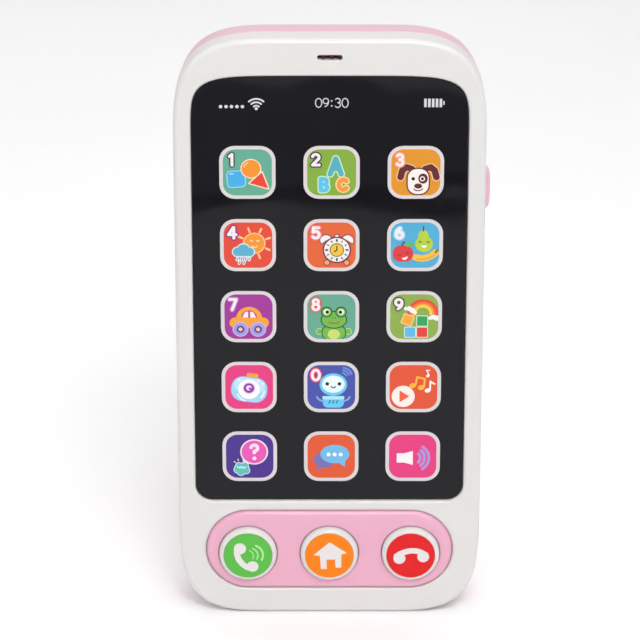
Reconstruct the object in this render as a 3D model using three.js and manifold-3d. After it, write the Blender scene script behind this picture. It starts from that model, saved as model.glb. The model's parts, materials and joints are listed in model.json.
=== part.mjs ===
// Toy cell phone: a push-button toy with a printed screen over a membrane switch, three round
// spring buttons, a side key, a lamp, a speaker and three AAA cells behind a screwed door.
// Millimetres, +Z up. The phone stands on its foot with its screen facing -Y.
// The origin is the middle of the foot's flat, midway through the phone's thickness.

import * as THREE from 'three';
import { mergeVertices } from 'three/addons/utils/BufferGeometryUtils.js';
import Module from 'manifold-3d';

const wasm = await Module();
wasm.setup();

// ---------------------------------------------------------------- driving dimensions

const GAP = 0.3; // clearance between pieces that touch or fit

const CASE = {
  halfWidth: 37.5,
  height: 151.5,
  front: -9.5,
  back: 9.5,
  seam: -3.2, // rear edge of the white shell
  flat: 12, // half-length of the flat at the foot and at the top
  foot: { height: 30, power: 3.8 }, // lower corners: superellipse from the foot to the sides
  head: { height: 26.5, power: 3.25 }, // upper corners
  wall: 2,
  frontRound: 1.2,
  backRoundStart: 2, // where the rear cover starts to round off
  backRoundInset: 5.5,
};

const SCREEN = {
  halfWidth: 33.25,
  bottom: 31.05,
  top: 142.3,
  footRound: 4.2,
  headHeight: 20,
  headPower: 6.5,
  face: -8.7, // front of the printed film
  filmThick: 0.5,
  sheetThick: 0.3,
  floorFront: -6.1,
  floorBack: -4.7,
};

const KEYS = { columns: 3, rows: 5, pitchX: 20.2, pitchZ: 18.72, firstZ: 43, contact: 10 };

const PAD = {
  z: 17.6,
  halfLength: 30.85,
  halfHeight: 10.75,
  face: -9.8,
  edge: 1.5, // radius of its rounded front edge
  back: -7.1,
  flange: 0.45, // how far its rim reaches behind the shell
};

const BUTTON = {
  z: 16.9,
  pitch: 20.35,
  radius: 7.4,
  discRadius: 6.05,
  rim: -11.4,
  discFace: -11.6,
  flangeRadius: 8.4,
  flangeFront: -6.8,
  flangeBack: -5.8,
};

const SIDE_KEY = { z: 111, y: 0.2, halfLength: 5.75, halfWidth: 1.8, proud: 1.45 };

const SLOT = { z: 147, halfWidth: 2.95, halfHeight: 0.575, bands: 6 };

const CELL = { radius: 5.25, length: 44.5, pitch: 11.3, y: 2.4, nubRadius: 1.9, nubHeight: 1 };

const BOX = { halfWidth: 17.4, bottom: 34, top: 89, front: -3.2, wall: 1.5 };

const DOOR = {
  halfWidth: 20.2,
  bottom: 31.3,
  top: 97.7,
  thick: 1.5,
  screwZ: 93,
  bossRadius: 4,
  tabX: 11,
  tabHalfWidth: 2,
};
const LEDGE = 7.7; // where the door's ledge lies

const CASE_SCREWS = [
  [-28.5, 33],
  [28.5, 33],
  [-27, 129],
  [27, 129],
];
const PAD_SCREWS = [
  [-10.1, 8.9],
  [10.1, 8.9],
];

const SPEAKER = { z: 118, radius: 14.5, rimBack: 7.4, clampX: 18.4 };

const BOARD = { halfWidth: 28.5, bottom: 6.2, top: 29, front: -2.3, back: -0.7 };

// ---------------------------------------------------------------- shape helpers

const v2 = (x, z) => new THREE.Vector2(x, z);
const v3 = (x, y, z) => new THREE.Vector3(x, y, z);

// One quarter of a superellipse from its lowest or highest point to its side, as points and normals.
function quarter(centreX, centreZ, a, b, power, side, steps) {
  const points = [];
  for (let i = 0; i <= steps; i++) {
    const t = (Math.PI / 2) * (1 - i / steps);
    const u = Math.cos(t) ** (2 / power);
    const w = Math.sin(t) ** (2 / power);
    const slopeX = Math.max(u, 0) ** (power - 1) / a;
    const slopeZ = Math.max(w, 0) ** (power - 1) / b;
    const size = Math.hypot(slopeX, slopeZ);
    points.push({
      x: centreX + a * u,
      z: centreZ + side * b * w,
      nx: slopeX / size,
      nz: (side * slopeZ) / size,
    });
  }
  return points;
}

// A left-right symmetrical outline from its right half, which runs from the bottom to the top.
function mirrored(rightHalf, inset) {
  const right = rightHalf.map((p) => v2(p.x - inset * p.nx, p.z - inset * p.nz));
  const left = right.filter((p) => p.x > 0.01).map((p) => v2(-p.x, p.y));
  return right.concat(left.reverse());
}

function caseOutline(inset = 0) {
  const { halfWidth, height, flat, foot, head } = CASE;
  const a = halfWidth - flat;
  const lower = quarter(flat, foot.height, a, foot.height, foot.power, -1, 10);
  const upper = quarter(flat, height - head.height, a, head.height, head.power, 1, 10);
  return mirrored(lower.concat(upper.reverse()), inset);
}

function screenOutline(inset = 0) {
  const { halfWidth, bottom, top, footRound, headHeight, headPower } = SCREEN;
  const lower = quarter(halfWidth - footRound, bottom + footRound, footRound, footRound, 2, -1, 5);
  const upper = quarter(0, top - headHeight, halfWidth, headHeight, headPower, 1, 12);
  return mirrored(lower.concat(upper.reverse()), inset);
}

function padOutline(inset = 0) {
  const r = PAD.halfHeight;
  const lower = quarter(PAD.halfLength - r, PAD.z, r, r, 2, -1, 8);
  const upper = quarter(PAD.halfLength - r, PAD.z, r, r, 2, 1, 8);
  return mirrored(lower.concat(upper.reverse().slice(1)), inset);
}

// A flat piece with its outline in X and Z, from y0 at the front to y1 at the back.
function plate(outline, y0, y1) {
  const geometry = new THREE.ExtrudeGeometry(new THREE.Shape(outline), {
    depth: y1 - y0,
    bevelEnabled: false,
  });
  geometry.rotateX(Math.PI / 2);
  geometry.translate(0, y1, 0);
  return geometry;
}

// A closed skin over a stack of convex outlines, each with the same number of points.
function stack(rings) {
  const count = rings[0].outline.length;
  const positions = rings.flatMap(({ outline, y }) => outline.flatMap((p) => [p.x, y, p.y]));
  const faces = [];
  for (let k = 0; k + 1 < rings.length; k++) {
    for (let i = 0; i < count; i++) {
      const a = k * count + i;
      const b = k * count + ((i + 1) % count);
      faces.push(a, a + count, b, b, a + count, b + count);
    }
  }
  const last = (rings.length - 1) * count;
  for (const [p, q, r] of THREE.ShapeUtils.triangulateShape(rings[0].outline, [])) {
    faces.push(p, q, r, last + p, last + r, last + q);
  }
  const geometry = new THREE.BufferGeometry();
  geometry.setAttribute('position', new THREE.Float32BufferAttribute(positions, 3));
  geometry.setIndex(faces);
  return geometry;
}

const block = (x0, x1, y0, y1, z0, z1) =>
  new THREE.BoxGeometry(x1 - x0, y1 - y0, z1 - z0).translate(
    (x0 + x1) / 2,
    (y0 + y1) / 2,
    (z0 + z1) / 2,
  );

// A round pin along Y.
const pin = (x, z, radius, y0, y1, sides = 16) =>
  new THREE.CylinderGeometry(radius, radius, y1 - y0, sides).translate(x, (y0 + y1) / 2, z);

// A turned piece about an axis along Y. Its section runs from the axis back to the axis, either
// way round, as points of radius and y.
function turned(x, z, profile, sides = 24) {
  const points = profile.map(([radius, y]) => v2(radius, y));
  if (THREE.ShapeUtils.isClockWise(points)) points.reverse();
  return new THREE.LatheGeometry(points, sides).translate(x, 0, z);
}

// A round or flat lead along a curve.
function lead(points, radius, sides, steps) {
  const section = new THREE.Shape();
  for (let i = 0; i < sides; i++) {
    const angle = (2 * Math.PI * i) / sides;
    const [x, y] = [radius * Math.cos(angle), radius * Math.sin(angle)];
    if (i === 0) section.moveTo(x, y);
    else section.lineTo(x, y);
  }
  return new THREE.ExtrudeGeometry(section, {
    steps,
    extrudePath: new THREE.CatmullRomCurve3(points),
    bevelEnabled: false,
  });
}

// ---------------------------------------------------------------- solids and meshes

function solid(geometry) {
  const bare = geometry.clone();
  bare.deleteAttribute('normal');
  bare.deleteAttribute('uv');
  const merged = mergeVertices(bare, 1e-5);
  return new wasm.Manifold(
    new wasm.Mesh({
      numProp: 3,
      vertProperties: new Float32Array(merged.attributes.position.array),
      triVerts: new Uint32Array(merged.index.array),
    }),
  );
}

const join = (first, ...others) => others.reduce((all, g) => all.add(solid(g)), solid(first));
const cut = (body, ...tools) => tools.reduce((rest, g) => rest.subtract(solid(g)), body);

function geometryOf(body) {
  const mesh = body.getMesh();
  const geometry = new THREE.BufferGeometry();
  geometry.setAttribute('position', new THREE.Float32BufferAttribute(mesh.vertProperties, 3));
  geometry.setIndex(Array.from(mesh.triVerts));
  return geometry;
}

const phone = new THREE.Group();

function material(color, roughness, metalness = 0) {
  return new THREE.MeshStandardMaterial({ color, roughness, metalness });
}

function add(name, shape, look) {
  const geometry = shape.isBufferGeometry ? shape : geometryOf(shape);
  const mesh = new THREE.Mesh(geometry, look.clone());
  mesh.name = name;
  phone.add(mesh);
}

const LOOK = {
  white: material(0xeae7e5, 0.35),
  pink: material(0xf3b6cc, 0.35),
  film: material(0x2a2a2c, 0.12),
  sheet: material(0xd8d8c8, 0.5),
  rubber: material(0xb8b8b4, 0.8),
  green: material(0x5ec650, 0.3),
  orange: material(0xfe8620, 0.3),
  red: material(0xe82d32, 0.3),
  black: material(0x151515, 0.4),
  lens: material(0xb01018, 0.15),
  board: material(0x1f6b3a, 0.5),
  resin: material(0x0c0c0c, 0.3),
  steel: material(0xb8bcc0, 0.3, 1),
  cone: material(0x202022, 0.9),
  cell: material(0x2f6fb5, 0.35, 0.4),
  redWire: material(0xc02020, 0.5),
  blackWire: material(0x181818, 0.5),
  whiteWire: material(0xdddddd, 0.5),
};

// ---------------------------------------------------------------- casing

function frontBezel() {
  const { front, seam, frontRound, wall } = CASE;
  const rounding = [0, 1, 2, 3].map((step) => {
    const angle = (step * Math.PI) / 6;
    return {
      y: front + frontRound * (1 - Math.sin(angle)),
      outline: caseOutline(frontRound * (1 - Math.cos(angle))),
    };
  });
  const skin = stack([...rounding.reverse(), { y: seam, outline: caseOutline() }]);
  const hollow = plate(caseOutline(wall), front + wall, seam + 1);
  const recessWall = 1.6;
  const floorBlock = plate(screenOutline(-recessWall), front + wall - 0.1, SCREEN.floorBack);
  const posts = CASE_SCREWS.map(([x, z]) => pin(x, z, 2.7, SCREEN.floorBack - 0.5, 0.7));
  let body = cut(join(skin), hollow);
  body = [floorBlock, ...posts].reduce((all, g) => all.add(solid(g)), body);
  const pilots = CASE_SCREWS.map(([x, z]) => pin(x, z, 1.4, SCREEN.floorBack - 0.3, 1, 10));
  const { z, halfWidth, halfHeight } = SLOT;
  return cut(
    body,
    plate(screenOutline(), front - 1, SCREEN.floorFront),
    plate(padOutline(), front - 1, front + wall + 1),
    block(-halfWidth, halfWidth, front - 1, front + wall + 1, z - halfHeight, z + halfHeight),
    block(-6.5, 6.5, SCREEN.floorFront - 1, SCREEN.floorBack + 1, 31.35, 32.25),
    ...pilots,
  );
}

// The rear cover's round shoulder: a quarter ellipse from the straight side to the flat back.
function shoulder(inset, backY, spread, steps) {
  const depth = backY - CASE.backRoundStart;
  const rings = [];
  for (let step = 0; step <= steps; step++) {
    const angle = (step * Math.PI) / 2 / steps;
    rings.push({
      y: CASE.backRoundStart + depth * Math.sin(angle),
      outline: caseOutline(inset + spread * (1 - Math.cos(angle))),
    });
  }
  return rings;
}

function speakerHoles() {
  const holes = [pin(0, SPEAKER.z, 0.9, 6, 11, 6)];
  for (const [ring, count] of [
    [4, 6],
    [8, 12],
  ]) {
    for (let i = 0; i < count; i++) {
      const angle = (2 * Math.PI * i) / count;
      const [x, z] = [ring * Math.cos(angle), SPEAKER.z + ring * Math.sin(angle)];
      holes.push(pin(x, z, 0.9, 6, 11, 6));
    }
  }
  return holes;
}

function rearCover() {
  const { back, seam, wall, backRoundInset } = CASE;
  const rim = seam + GAP;
  const lipFront = SCREEN.floorBack + GAP;
  const lipRoot = -1;
  const skin = stack([
    { y: rim, outline: caseOutline() },
    ...shoulder(0, back, backRoundInset, 5),
  ]);
  const lip = plate(caseOutline(wall + GAP), lipFront, lipRoot);
  const lipHollow = plate(caseOutline(wall + GAP + 1), lipFront - 1, lipRoot + 0.1);
  const hollow = stack([
    { y: lipRoot, outline: caseOutline(wall) },
    ...shoulder(wall, LEDGE, backRoundInset - 0.9, 3),
  ]);
  let body = cut(join(skin, lip), lipHollow, hollow);

  const boxOuter = BOX.halfWidth + BOX.wall;
  const batteryBox = block(
    -boxOuter,
    boxOuter,
    BOX.front - 1.2,
    LEDGE + 0.5,
    BOX.bottom - BOX.wall,
    BOX.top + BOX.wall,
  );
  const ledge = block(-22, 22, LEDGE - 1.5, LEDGE + 0.5, 29.6, DOOR.top + 1.8);
  const screwBosses = CASE_SCREWS.map(([x, z]) => pin(x, z, 3.3, 1, back - 0.5));
  const doorBoss = pin(0, DOOR.screwZ, 3.7, 0, 5.2);
  const doorBossRib = block(-0.8, 0.8, 0, 5.2, BOX.top, DOOR.screwZ);
  const speakerRing = pin(0, SPEAKER.z, 16.2, 4.5, back - 1, 24);
  const clampBosses = [-1, 1].map((s) => pin(s * SPEAKER.clampX, SPEAKER.z, 2.8, 2.9, back - 1));
  const lampRib = block(-2, 2, 0.8, back - 1, 144.6, 146.4);
  const boardRibs = [103.7, 118.3].flatMap((z) => [
    block(24.4, 25.7, 0.5, back - 1, z - 1.3, z + 1.3),
    block(27.5, 28.8, 0.5, back - 1, z - 1.3, z + 1.3),
  ]);
  body = [
    batteryBox,
    ledge,
    ...screwBosses,
    doorBoss,
    doorBossRib,
    speakerRing,
    ...clampBosses,
    lampRib,
    ...boardRibs,
  ].reduce((all, g) => all.add(solid(g)), body);

  const recess = GAP;
  const key = SIDE_KEY;
  const keySlot = { y: key.halfWidth + GAP, z: key.halfLength + GAP };
  const innerWall = CASE.halfWidth - wall;
  return cut(
    body,
    block(
      -DOOR.halfWidth - recess,
      DOOR.halfWidth + recess,
      LEDGE,
      back + 1,
      DOOR.bottom - recess,
      DOOR.top + recess,
    ),
    block(-BOX.halfWidth, BOX.halfWidth, BOX.front, back + 1, BOX.bottom, BOX.top),
    pin(0, SPEAKER.z, 15, 4, LEDGE + 0.1, 24),
    ...speakerHoles(),
    pin(0, DOOR.screwZ, DOOR.bossRadius + GAP, 5.1, back + 1),
    pin(0, DOOR.screwZ, 1.8, 0.8, 6, 12),
    ...[-1, 1].map((s) =>
      block(
        s * DOOR.tabX - DOOR.tabHalfWidth - GAP,
        s * DOOR.tabX + DOOR.tabHalfWidth + GAP,
        5.8,
        LEDGE + 0.1,
        29,
        BOX.bottom + 0.2,
      ),
    ),
    ...CASE_SCREWS.flatMap(([x, z]) => [pin(x, z, 2.5, 5, back + 1), pin(x, z, 1.4, 0, 6, 10)]),
    ...[-1, 1].map((s) => pin(s * SPEAKER.clampX, SPEAKER.z, 1.3, 2, 6.9, 10)),
    block(30, innerWall + 0.15, rim - 0.15, 3.6, key.z - 7.7, key.z + 7.7),
    block(
      innerWall - 1,
      CASE.halfWidth + 1,
      key.y - keySlot.y,
      key.y + keySlot.y,
      key.z - keySlot.z,
      key.z + keySlot.z,
    ),
    block(-7, 7, lipFront - 1, lipRoot + 0.2, 140, CASE.height - wall + 0.1),
    pin(-CELL.pitch, 0, 0.9, -1.6, 1.6, 8).rotateX(Math.PI / 2).translate(0, 0, BOX.top + 1),
    pin(CELL.pitch, 0, 0.9, -1.6, 1.6, 8).rotateX(Math.PI / 2).translate(0, 4, BOX.bottom - 1),
  );
}

function batteryDoor() {
  const { halfWidth, bottom, top, thick, screwZ, bossRadius, tabX, tabHalfWidth } = DOOR;
  const inner = CASE.back - thick;
  const tabs = [-1, 1].flatMap((s) => {
    const [x0, x1] = [s * tabX - tabHalfWidth, s * tabX + tabHalfWidth];
    return [
      block(x0, x1, 6.4, LEDGE - GAP, 29.4, 33),
      block(x0, x1, 6.4, inner + 0.2, bottom, 33),
    ];
  });
  const body = join(
    block(-halfWidth, halfWidth, inner, CASE.back, bottom, top),
    pin(0, screwZ, bossRadius, 5.5, CASE.back),
    ...tabs,
  );
  return cut(body, pin(0, screwZ, 2.8, 6.8, CASE.back + 1), pin(0, screwZ, 1.5, 5, 7, 12));
}

// A pan-head screw along Y with a cross recess. Its head faces +Y unless it is turned round.
function screw(x, z, headY, tipY, headRadius, shankRadius) {
  const facing = Math.sign(headY - tipY);
  const headHeight = 1.8;
  const seat = headY - facing * headHeight;
  const profile = [
    [0, tipY],
    [shankRadius, tipY + facing * 0.6],
    [shankRadius, seat],
    [headRadius, seat],
    [headRadius, headY - facing * 0.6],
    [headRadius - 0.6, headY],
    [0, headY],
  ];
  const body = join(turned(x, z, profile, 12));
  const [low, high] = facing > 0 ? [headY - 0.8, headY + 1] : [headY - 1, headY + 0.8];
  const reach = headRadius * 0.6;
  return cut(
    body,
    block(x - reach, x + reach, low, high, z - 0.3, z + 0.3),
    block(x - 0.3, x + 0.3, low, high, z - reach, z + reach),
  );
}

function casing() {
  add('front_bezel', frontBezel(), LOOK.white);
  add('rear_cover', rearCover(), LOOK.pink);
  add('battery_door', batteryDoor(), LOOK.pink);
  add('door_screw', screw(0, DOOR.screwZ, 8.9, 1.2, 2.5, 1.2), LOOK.steel);
  CASE_SCREWS.forEach(([x, z], i) => {
    add(`case_screw_${i + 1}`, screw(x, z, 7.1, -4.6, 2.2, 1.1), LOOK.steel);
  });
}

// ---------------------------------------------------------------- screen and membrane switch

function keyCentres() {
  const centres = [];
  for (let row = 0; row < KEYS.rows; row++) {
    for (let column = 0; column < KEYS.columns; column++) {
      centres.push([
        (column - (KEYS.columns - 1) / 2) * KEYS.pitchX,
        KEYS.firstZ + row * KEYS.pitchZ,
      ]);
    }
  }
  return centres;
}

function screen() {
  const { face, filmThick, sheetThick } = SCREEN;
  add('screen_overlay', plate(screenOutline(GAP), face, face + filmThick), LOOK.film);

  const layer = (index) => face + filmThick + GAP + index * (sheetThick + GAP);
  const sheet = (index, inset) =>
    plate(screenOutline(inset), layer(index), layer(index) + sheetThick);
  const half = KEYS.contact / 2;
  const windows = keyCentres().map(([x, z]) =>
    block(x - half, x + half, layer(1) - 1, layer(1) + 1, z - half, z + half),
  );
  add('membrane_upper_sheet', sheet(0, 0.6), LOOK.sheet);
  add('membrane_spacer', cut(join(sheet(1, 0.6)), ...windows), LOOK.sheet);
  const tailNotch = block(-7, 7, layer(2) - 1, layer(2) + 1, 30, 32.6);
  add('membrane_lower_sheet', cut(join(sheet(2, 0.6)), tailNotch), LOOK.sheet);

  // The ribbon lead drops through the floor's slot and down to its socket on the board.
  const ribbon = new THREE.Shape([
    v2(-6.6, 31.7),
    v2(-6.6, 31.9),
    v2(-4.05, 31.9),
    v2(-4.05, 28.9),
    v2(-4.25, 28.9),
    v2(-4.25, 31.7),
  ]);
  const tail = new THREE.ExtrudeGeometry(ribbon, { depth: 10, bevelEnabled: false });
  tail.applyMatrix4(
    new THREE.Matrix4().makeBasis(v3(0, 1, 0), v3(0, 0, 1), v3(1, 0, 0)).setPosition(-5, 0, 0),
  );
  add('membrane_tail', tail, LOOK.sheet);
  add('tail_connector', block(-6, 6, -4.6, BOARD.front - GAP, 26.6, 28.6), LOOK.black);
}

// ---------------------------------------------------------------- keypad

const buttonPlaces = [-1, 0, 1].map((step) => step * BUTTON.pitch);

function keypadFrame() {
  const edge = [0, 1, 2, 3].map((step) => {
    const angle = (step * Math.PI) / 6;
    return {
      y: PAD.face + PAD.edge * (1 - Math.sin(angle)),
      outline: padOutline(GAP + PAD.edge * (1 - Math.cos(angle))),
    };
  });
  const face = stack([...edge.reverse(), { y: PAD.back, outline: padOutline(GAP) }]);
  const flange = plate(padOutline(-PAD.flange), PAD.back - 0.1, PAD.back + 0.3);
  const posts = PAD_SCREWS.map(([x, z]) => pin(x, z, 2.2, PAD.back - 0.1, BOARD.front - GAP));
  return cut(
    join(face, flange, ...posts),
    ...buttonPlaces.map((x) => pin(x, BUTTON.z, BUTTON.radius + 0.35, -12, -5, 24)),
    ...PAD_SCREWS.map(([x, z]) => pin(x, z, 1.15, PAD.back + 0.3, 0, 10)),
  );
}

function buttonCap(x) {
  const { z, radius, discRadius, rim, flangeRadius, flangeFront, flangeBack } = BUTTON;
  const pocket = discRadius + GAP;
  const pocketFloor = rim + 0.7;
  const profile = [
    [0, flangeBack],
    [3.4, flangeBack],
    [3.4, -8.6],
    [6.2, -8.6],
    [6.2, flangeBack],
    [flangeRadius, flangeBack],
    [flangeRadius, flangeFront],
    [radius, flangeFront],
    [radius, rim + 1.2],
    [radius - 0.25, rim + 0.4],
    [radius - 0.9, rim],
    [pocket, rim],
    [pocket, pocketFloor],
    [0, pocketFloor],
  ];
  return turned(x, z, profile, 24);
}

function contactRubber() {
  const [front, back, top] = [-3.6, BOARD.front - GAP, BUTTON.flangeBack + GAP];
  const strip = block(-27.5, 27.5, front, back, BUTTON.z - 5.5, BUTTON.z + 6.1);
  const dome = (x) =>
    turned(
      x,
      BUTTON.z,
      [
        [0, top],
        [3.2, top],
        [5.4, front + 0.1],
        [0, front + 0.1],
      ],
      16,
    );
  const hollow = (x) =>
    turned(
      x,
      BUTTON.z,
      [
        [0, top + 0.6],
        [2.6, top + 0.6],
        [4.6, front],
        [4.6, back + 1],
        [0, back + 1],
      ],
      16,
    );
  return cut(join(strip, ...buttonPlaces.map(dome)), ...buttonPlaces.map(hollow));
}

function keypad() {
  add('keypad_frame', keypadFrame(), LOOK.pink);
  const buttons = [
    ['call', LOOK.green],
    ['home', LOOK.orange],
    ['end', LOOK.red],
  ];
  buttons.forEach(([name, look], i) => {
    const x = buttonPlaces[i];
    add(`${name}_button`, buttonCap(x), LOOK.white);
    const { z, discRadius, discFace } = BUTTON;
    const disc = pin(x, z, discRadius, discFace, discFace + 0.6, 24);
    add(`${name}_disc`, disc, look);
  });
  add('contact_rubber', contactRubber(), LOOK.rubber);
}

// ---------------------------------------------------------------- boards

function boards() {
  const { halfWidth, bottom, top, front, back } = BOARD;
  const board = cut(
    join(block(-halfWidth, halfWidth, front, back, bottom, top)),
    ...PAD_SCREWS.map(([x, z]) => pin(x, z, 1.2, front - 1, back + 1, 10)),
  );
  add('main_board', board, LOOK.board);
  const chipY = back + GAP;
  const chip = [
    [0, chipY],
    [5, chipY],
    [4.3, chipY + 0.9],
    [2.4, chipY + 1.5],
    [0, chipY + 1.7],
  ];
  add('sound_chip', turned(0, PAD.z, chip, 20), LOOK.resin);
  add('board_capacitor', pin(14, 14, 2.5, chipY, chipY + 5, 14), LOOK.black);
  PAD_SCREWS.forEach(([x, z], i) => {
    const head = back + GAP + 1.8;
    add(`board_screw_${i + 1}`, screw(x, z, head, -5.6, 2, 0.85), LOOK.steel);
  });
}

// ---------------------------------------------------------------- lamp behind the slot

function lamp() {
  const { z, halfWidth, halfHeight, bands } = SLOT;
  const pitch = (2 * halfWidth) / bands;
  const centre = (band) => -halfWidth + (band + 0.5) * pitch;
  const [front, back] = [-7.2, -6];
  const ribs = [1, 3, 5].map((band) =>
    block(
      centre(band) - pitch * 0.3,
      centre(band) + pitch * 0.3,
      -9,
      front + 0.2,
      z - halfHeight + 0.2,
      z + halfHeight - 0.2,
    ),
  );
  const windows = [0, 2, 4].map((band) =>
    block(centre(band) - pitch / 2, centre(band) + pitch / 2, -8, -5, z - 0.7, z + 0.7),
  );
  const grille = join(block(-4.5, 4.5, front, back, z - 1.7, z + 1.7), ...ribs);
  add('earpiece_grille', cut(grille, ...windows), LOOK.black);
  add('lamp_lens', block(-4, 4, back + GAP, -4.5, z - 1.4, z + 1.4), LOOK.lens);
  const led = [
    [0, -4.2],
    [0.9, -4],
    [1.4, -3.4],
    [1.5, -2.6],
    [1.5, -1.4],
    [1.8, -1.4],
    [1.8, -1],
    [0, -1],
  ];
  add('indicator_led', turned(0, z, led, 14), LOOK.lens);
  add('lamp_board', block(-6, 6, -0.7, 0.5, 143.8, 148.9), LOOK.board);
}

// ---------------------------------------------------------------- side key and its switch

function sideKey() {
  const { z, y, halfLength, halfWidth, proud } = SIDE_KEY;
  const innerWall = CASE.halfWidth - CASE.wall;
  const outer = CASE.halfWidth + proud;
  const outlineAt = (inset) => {
    const r = halfWidth - inset;
    const points = [];
    for (let i = 0; i < 20; i++) {
      const angle = (2 * Math.PI * (i + 0.5)) / 20;
      const end = Math.sin(angle) > 0 ? 1 : -1;
      points.push(v2(r * Math.cos(angle), end * (halfLength - halfWidth) + r * Math.sin(angle)));
    }
    return points;
  };
  // The head is stacked along Y, then turned so that the stack runs along X.
  const depths = [0, 1, 2, 3].map((step) => {
    const angle = (step * Math.PI) / 6;
    return { y: -1.1 + 1.1 * Math.sin(angle), outline: outlineAt(0.9 * (1 - Math.cos(angle))) };
  });
  const head = stack([{ y: innerWall - 1.2 - outer, outline: outlineAt(0) }, ...depths]);
  head.rotateZ(-Math.PI / 2).translate(outer, y, z);
  const flange = block(innerWall - 1.8, innerWall - 0.6, y - 2.8, y + 2.8, z - 7, z + 7);
  const nub = block(33, innerWall - 1.5, y - 1, y + 1, z - 1, z + 1);
  add('side_key', join(head, flange, nub), LOOK.pink);

  const [switchBack, switchFront] = [27.5, 31.2];
  const body = block(switchBack, switchFront, y - 3, y + 3, z - 3, z + 3);
  const alongX = (radius, x0, x1) =>
    pin(0, 0, radius, x0, x1, 14).rotateZ(-Math.PI / 2).translate(0, y, z);
  add('side_switch', cut(join(body), alongX(1.9, 29.2, switchFront + 1)), LOOK.black);
  add('switch_plunger', alongX(1.6, 30.6, 32.7), LOOK.redWire);
  add('switch_board', block(26, 27.2, -3.4, 5.6, z - 7.6, z + 7.6), LOOK.board);
}

// ---------------------------------------------------------------- speaker

function speaker() {
  const { z, radius, rimBack, clampX } = SPEAKER;
  const basket = [
    [0, 3],
    [8.4, 3],
    [12.6, 6.4],
    [radius, 6.4],
    [radius, rimBack],
    [13, rimBack],
    [8, 3.6],
    [0, 3.6],
  ];
  add('speaker_basket', turned(0, z, basket, 24), LOOK.steel);
  const cone = [
    [0, 4.4],
    [4, 4.4],
    [5, 3.95],
    [7.6, 3.95],
    [11.6, 6.95],
    [11.2, 6.95],
    [7.4, 4.25],
    [5.1, 4.25],
    [4.1, 4.7],
    [0, 4.7],
  ];
  add('speaker_cone', turned(0, z, cone, 24), LOOK.cone);
  add('speaker_magnet', pin(0, z, 7, 0, 2.7, 24), LOOK.steel);
  const holes = [-1, 1].map((s) => pin(s * clampX, z, 1.3, 0, 4, 10));
  const clamp = cut(
    join(block(-21.5, 21.5, 1.4, 2.6, z - 4, z + 4), pin(0, z, 9.5, 1.4, 2.6, 24)),
    pin(0, z, 7.4, 0, 4, 24),
    ...holes,
  );
  add('speaker_clamp', clamp, LOOK.white);
  [-1, 1].forEach((s, i) => {
    add(`clamp_screw_${i + 1}`, screw(s * clampX, z, -0.7, 6.4, 2, 1), LOOK.steel);
  });
}

// ---------------------------------------------------------------- batteries and contacts

function batteries() {
  const { radius, length, pitch, y, nubRadius, nubHeight } = CELL;
  const plateThick = 0.4;
  const topPlate = BOX.top - GAP - plateThick;
  const bottomPlate = BOX.bottom + GAP;
  const topFace = topPlate - GAP;
  const bottomFace = bottomPlate + plateThick + GAP;
  const cellProfile = [
    [0, 0],
    [radius - 0.4, 0],
    [radius, 0.4],
    [radius, length - nubHeight - 0.4],
    [radius - 0.4, length - nubHeight],
    [nubRadius, length - nubHeight],
    [nubRadius, length],
    [0, length],
  ];
  for (let i = 0; i < 3; i++) {
    const x = (i - 1) * pitch;
    const upward = i !== 1;
    const cell = turned(0, 0, cellProfile, 18).rotateX(upward ? Math.PI / 2 : -Math.PI / 2);
    cell.translate(x, y, upward ? topFace - length : bottomFace + length);
    add(`battery_${i + 1}`, cell, LOOK.cell);

    const springLength = topFace - bottomFace - length - GAP;
    const points = [];
    const turns = 4;
    for (let k = 0; k <= turns * 8; k++) {
      const share = k / (turns * 8);
      const angle = (k * Math.PI) / 4;
      const coil = 4 - 1.6 * share;
      const along = 0.3 + (springLength - 0.6) * share;
      const height = upward ? bottomFace + along : topFace - along;
      points.push(v3(x + coil * Math.cos(angle), y + coil * Math.sin(angle), height));
    }
    add(`battery_spring_${i + 1}`, lead(points, 0.25, 5, turns * 10), LOOK.steel);
  }
  const contact = (x0, x1, z0) => block(x0, x1, y - 4.2, y + 4.2, z0, z0 + plateThick);
  add('terminal_positive', contact(-pitch - 5, -pitch + 5, topPlate), LOOK.steel);
  add('bridge_upper', contact(-5, pitch + 5, topPlate), LOOK.steel);
  add('bridge_lower', contact(-pitch - 5, 5, bottomPlate), LOOK.steel);
  add('terminal_negative', contact(pitch - 5, pitch + 5, bottomPlate), LOOK.steel);
}

// ---------------------------------------------------------------- internal wires

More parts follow.
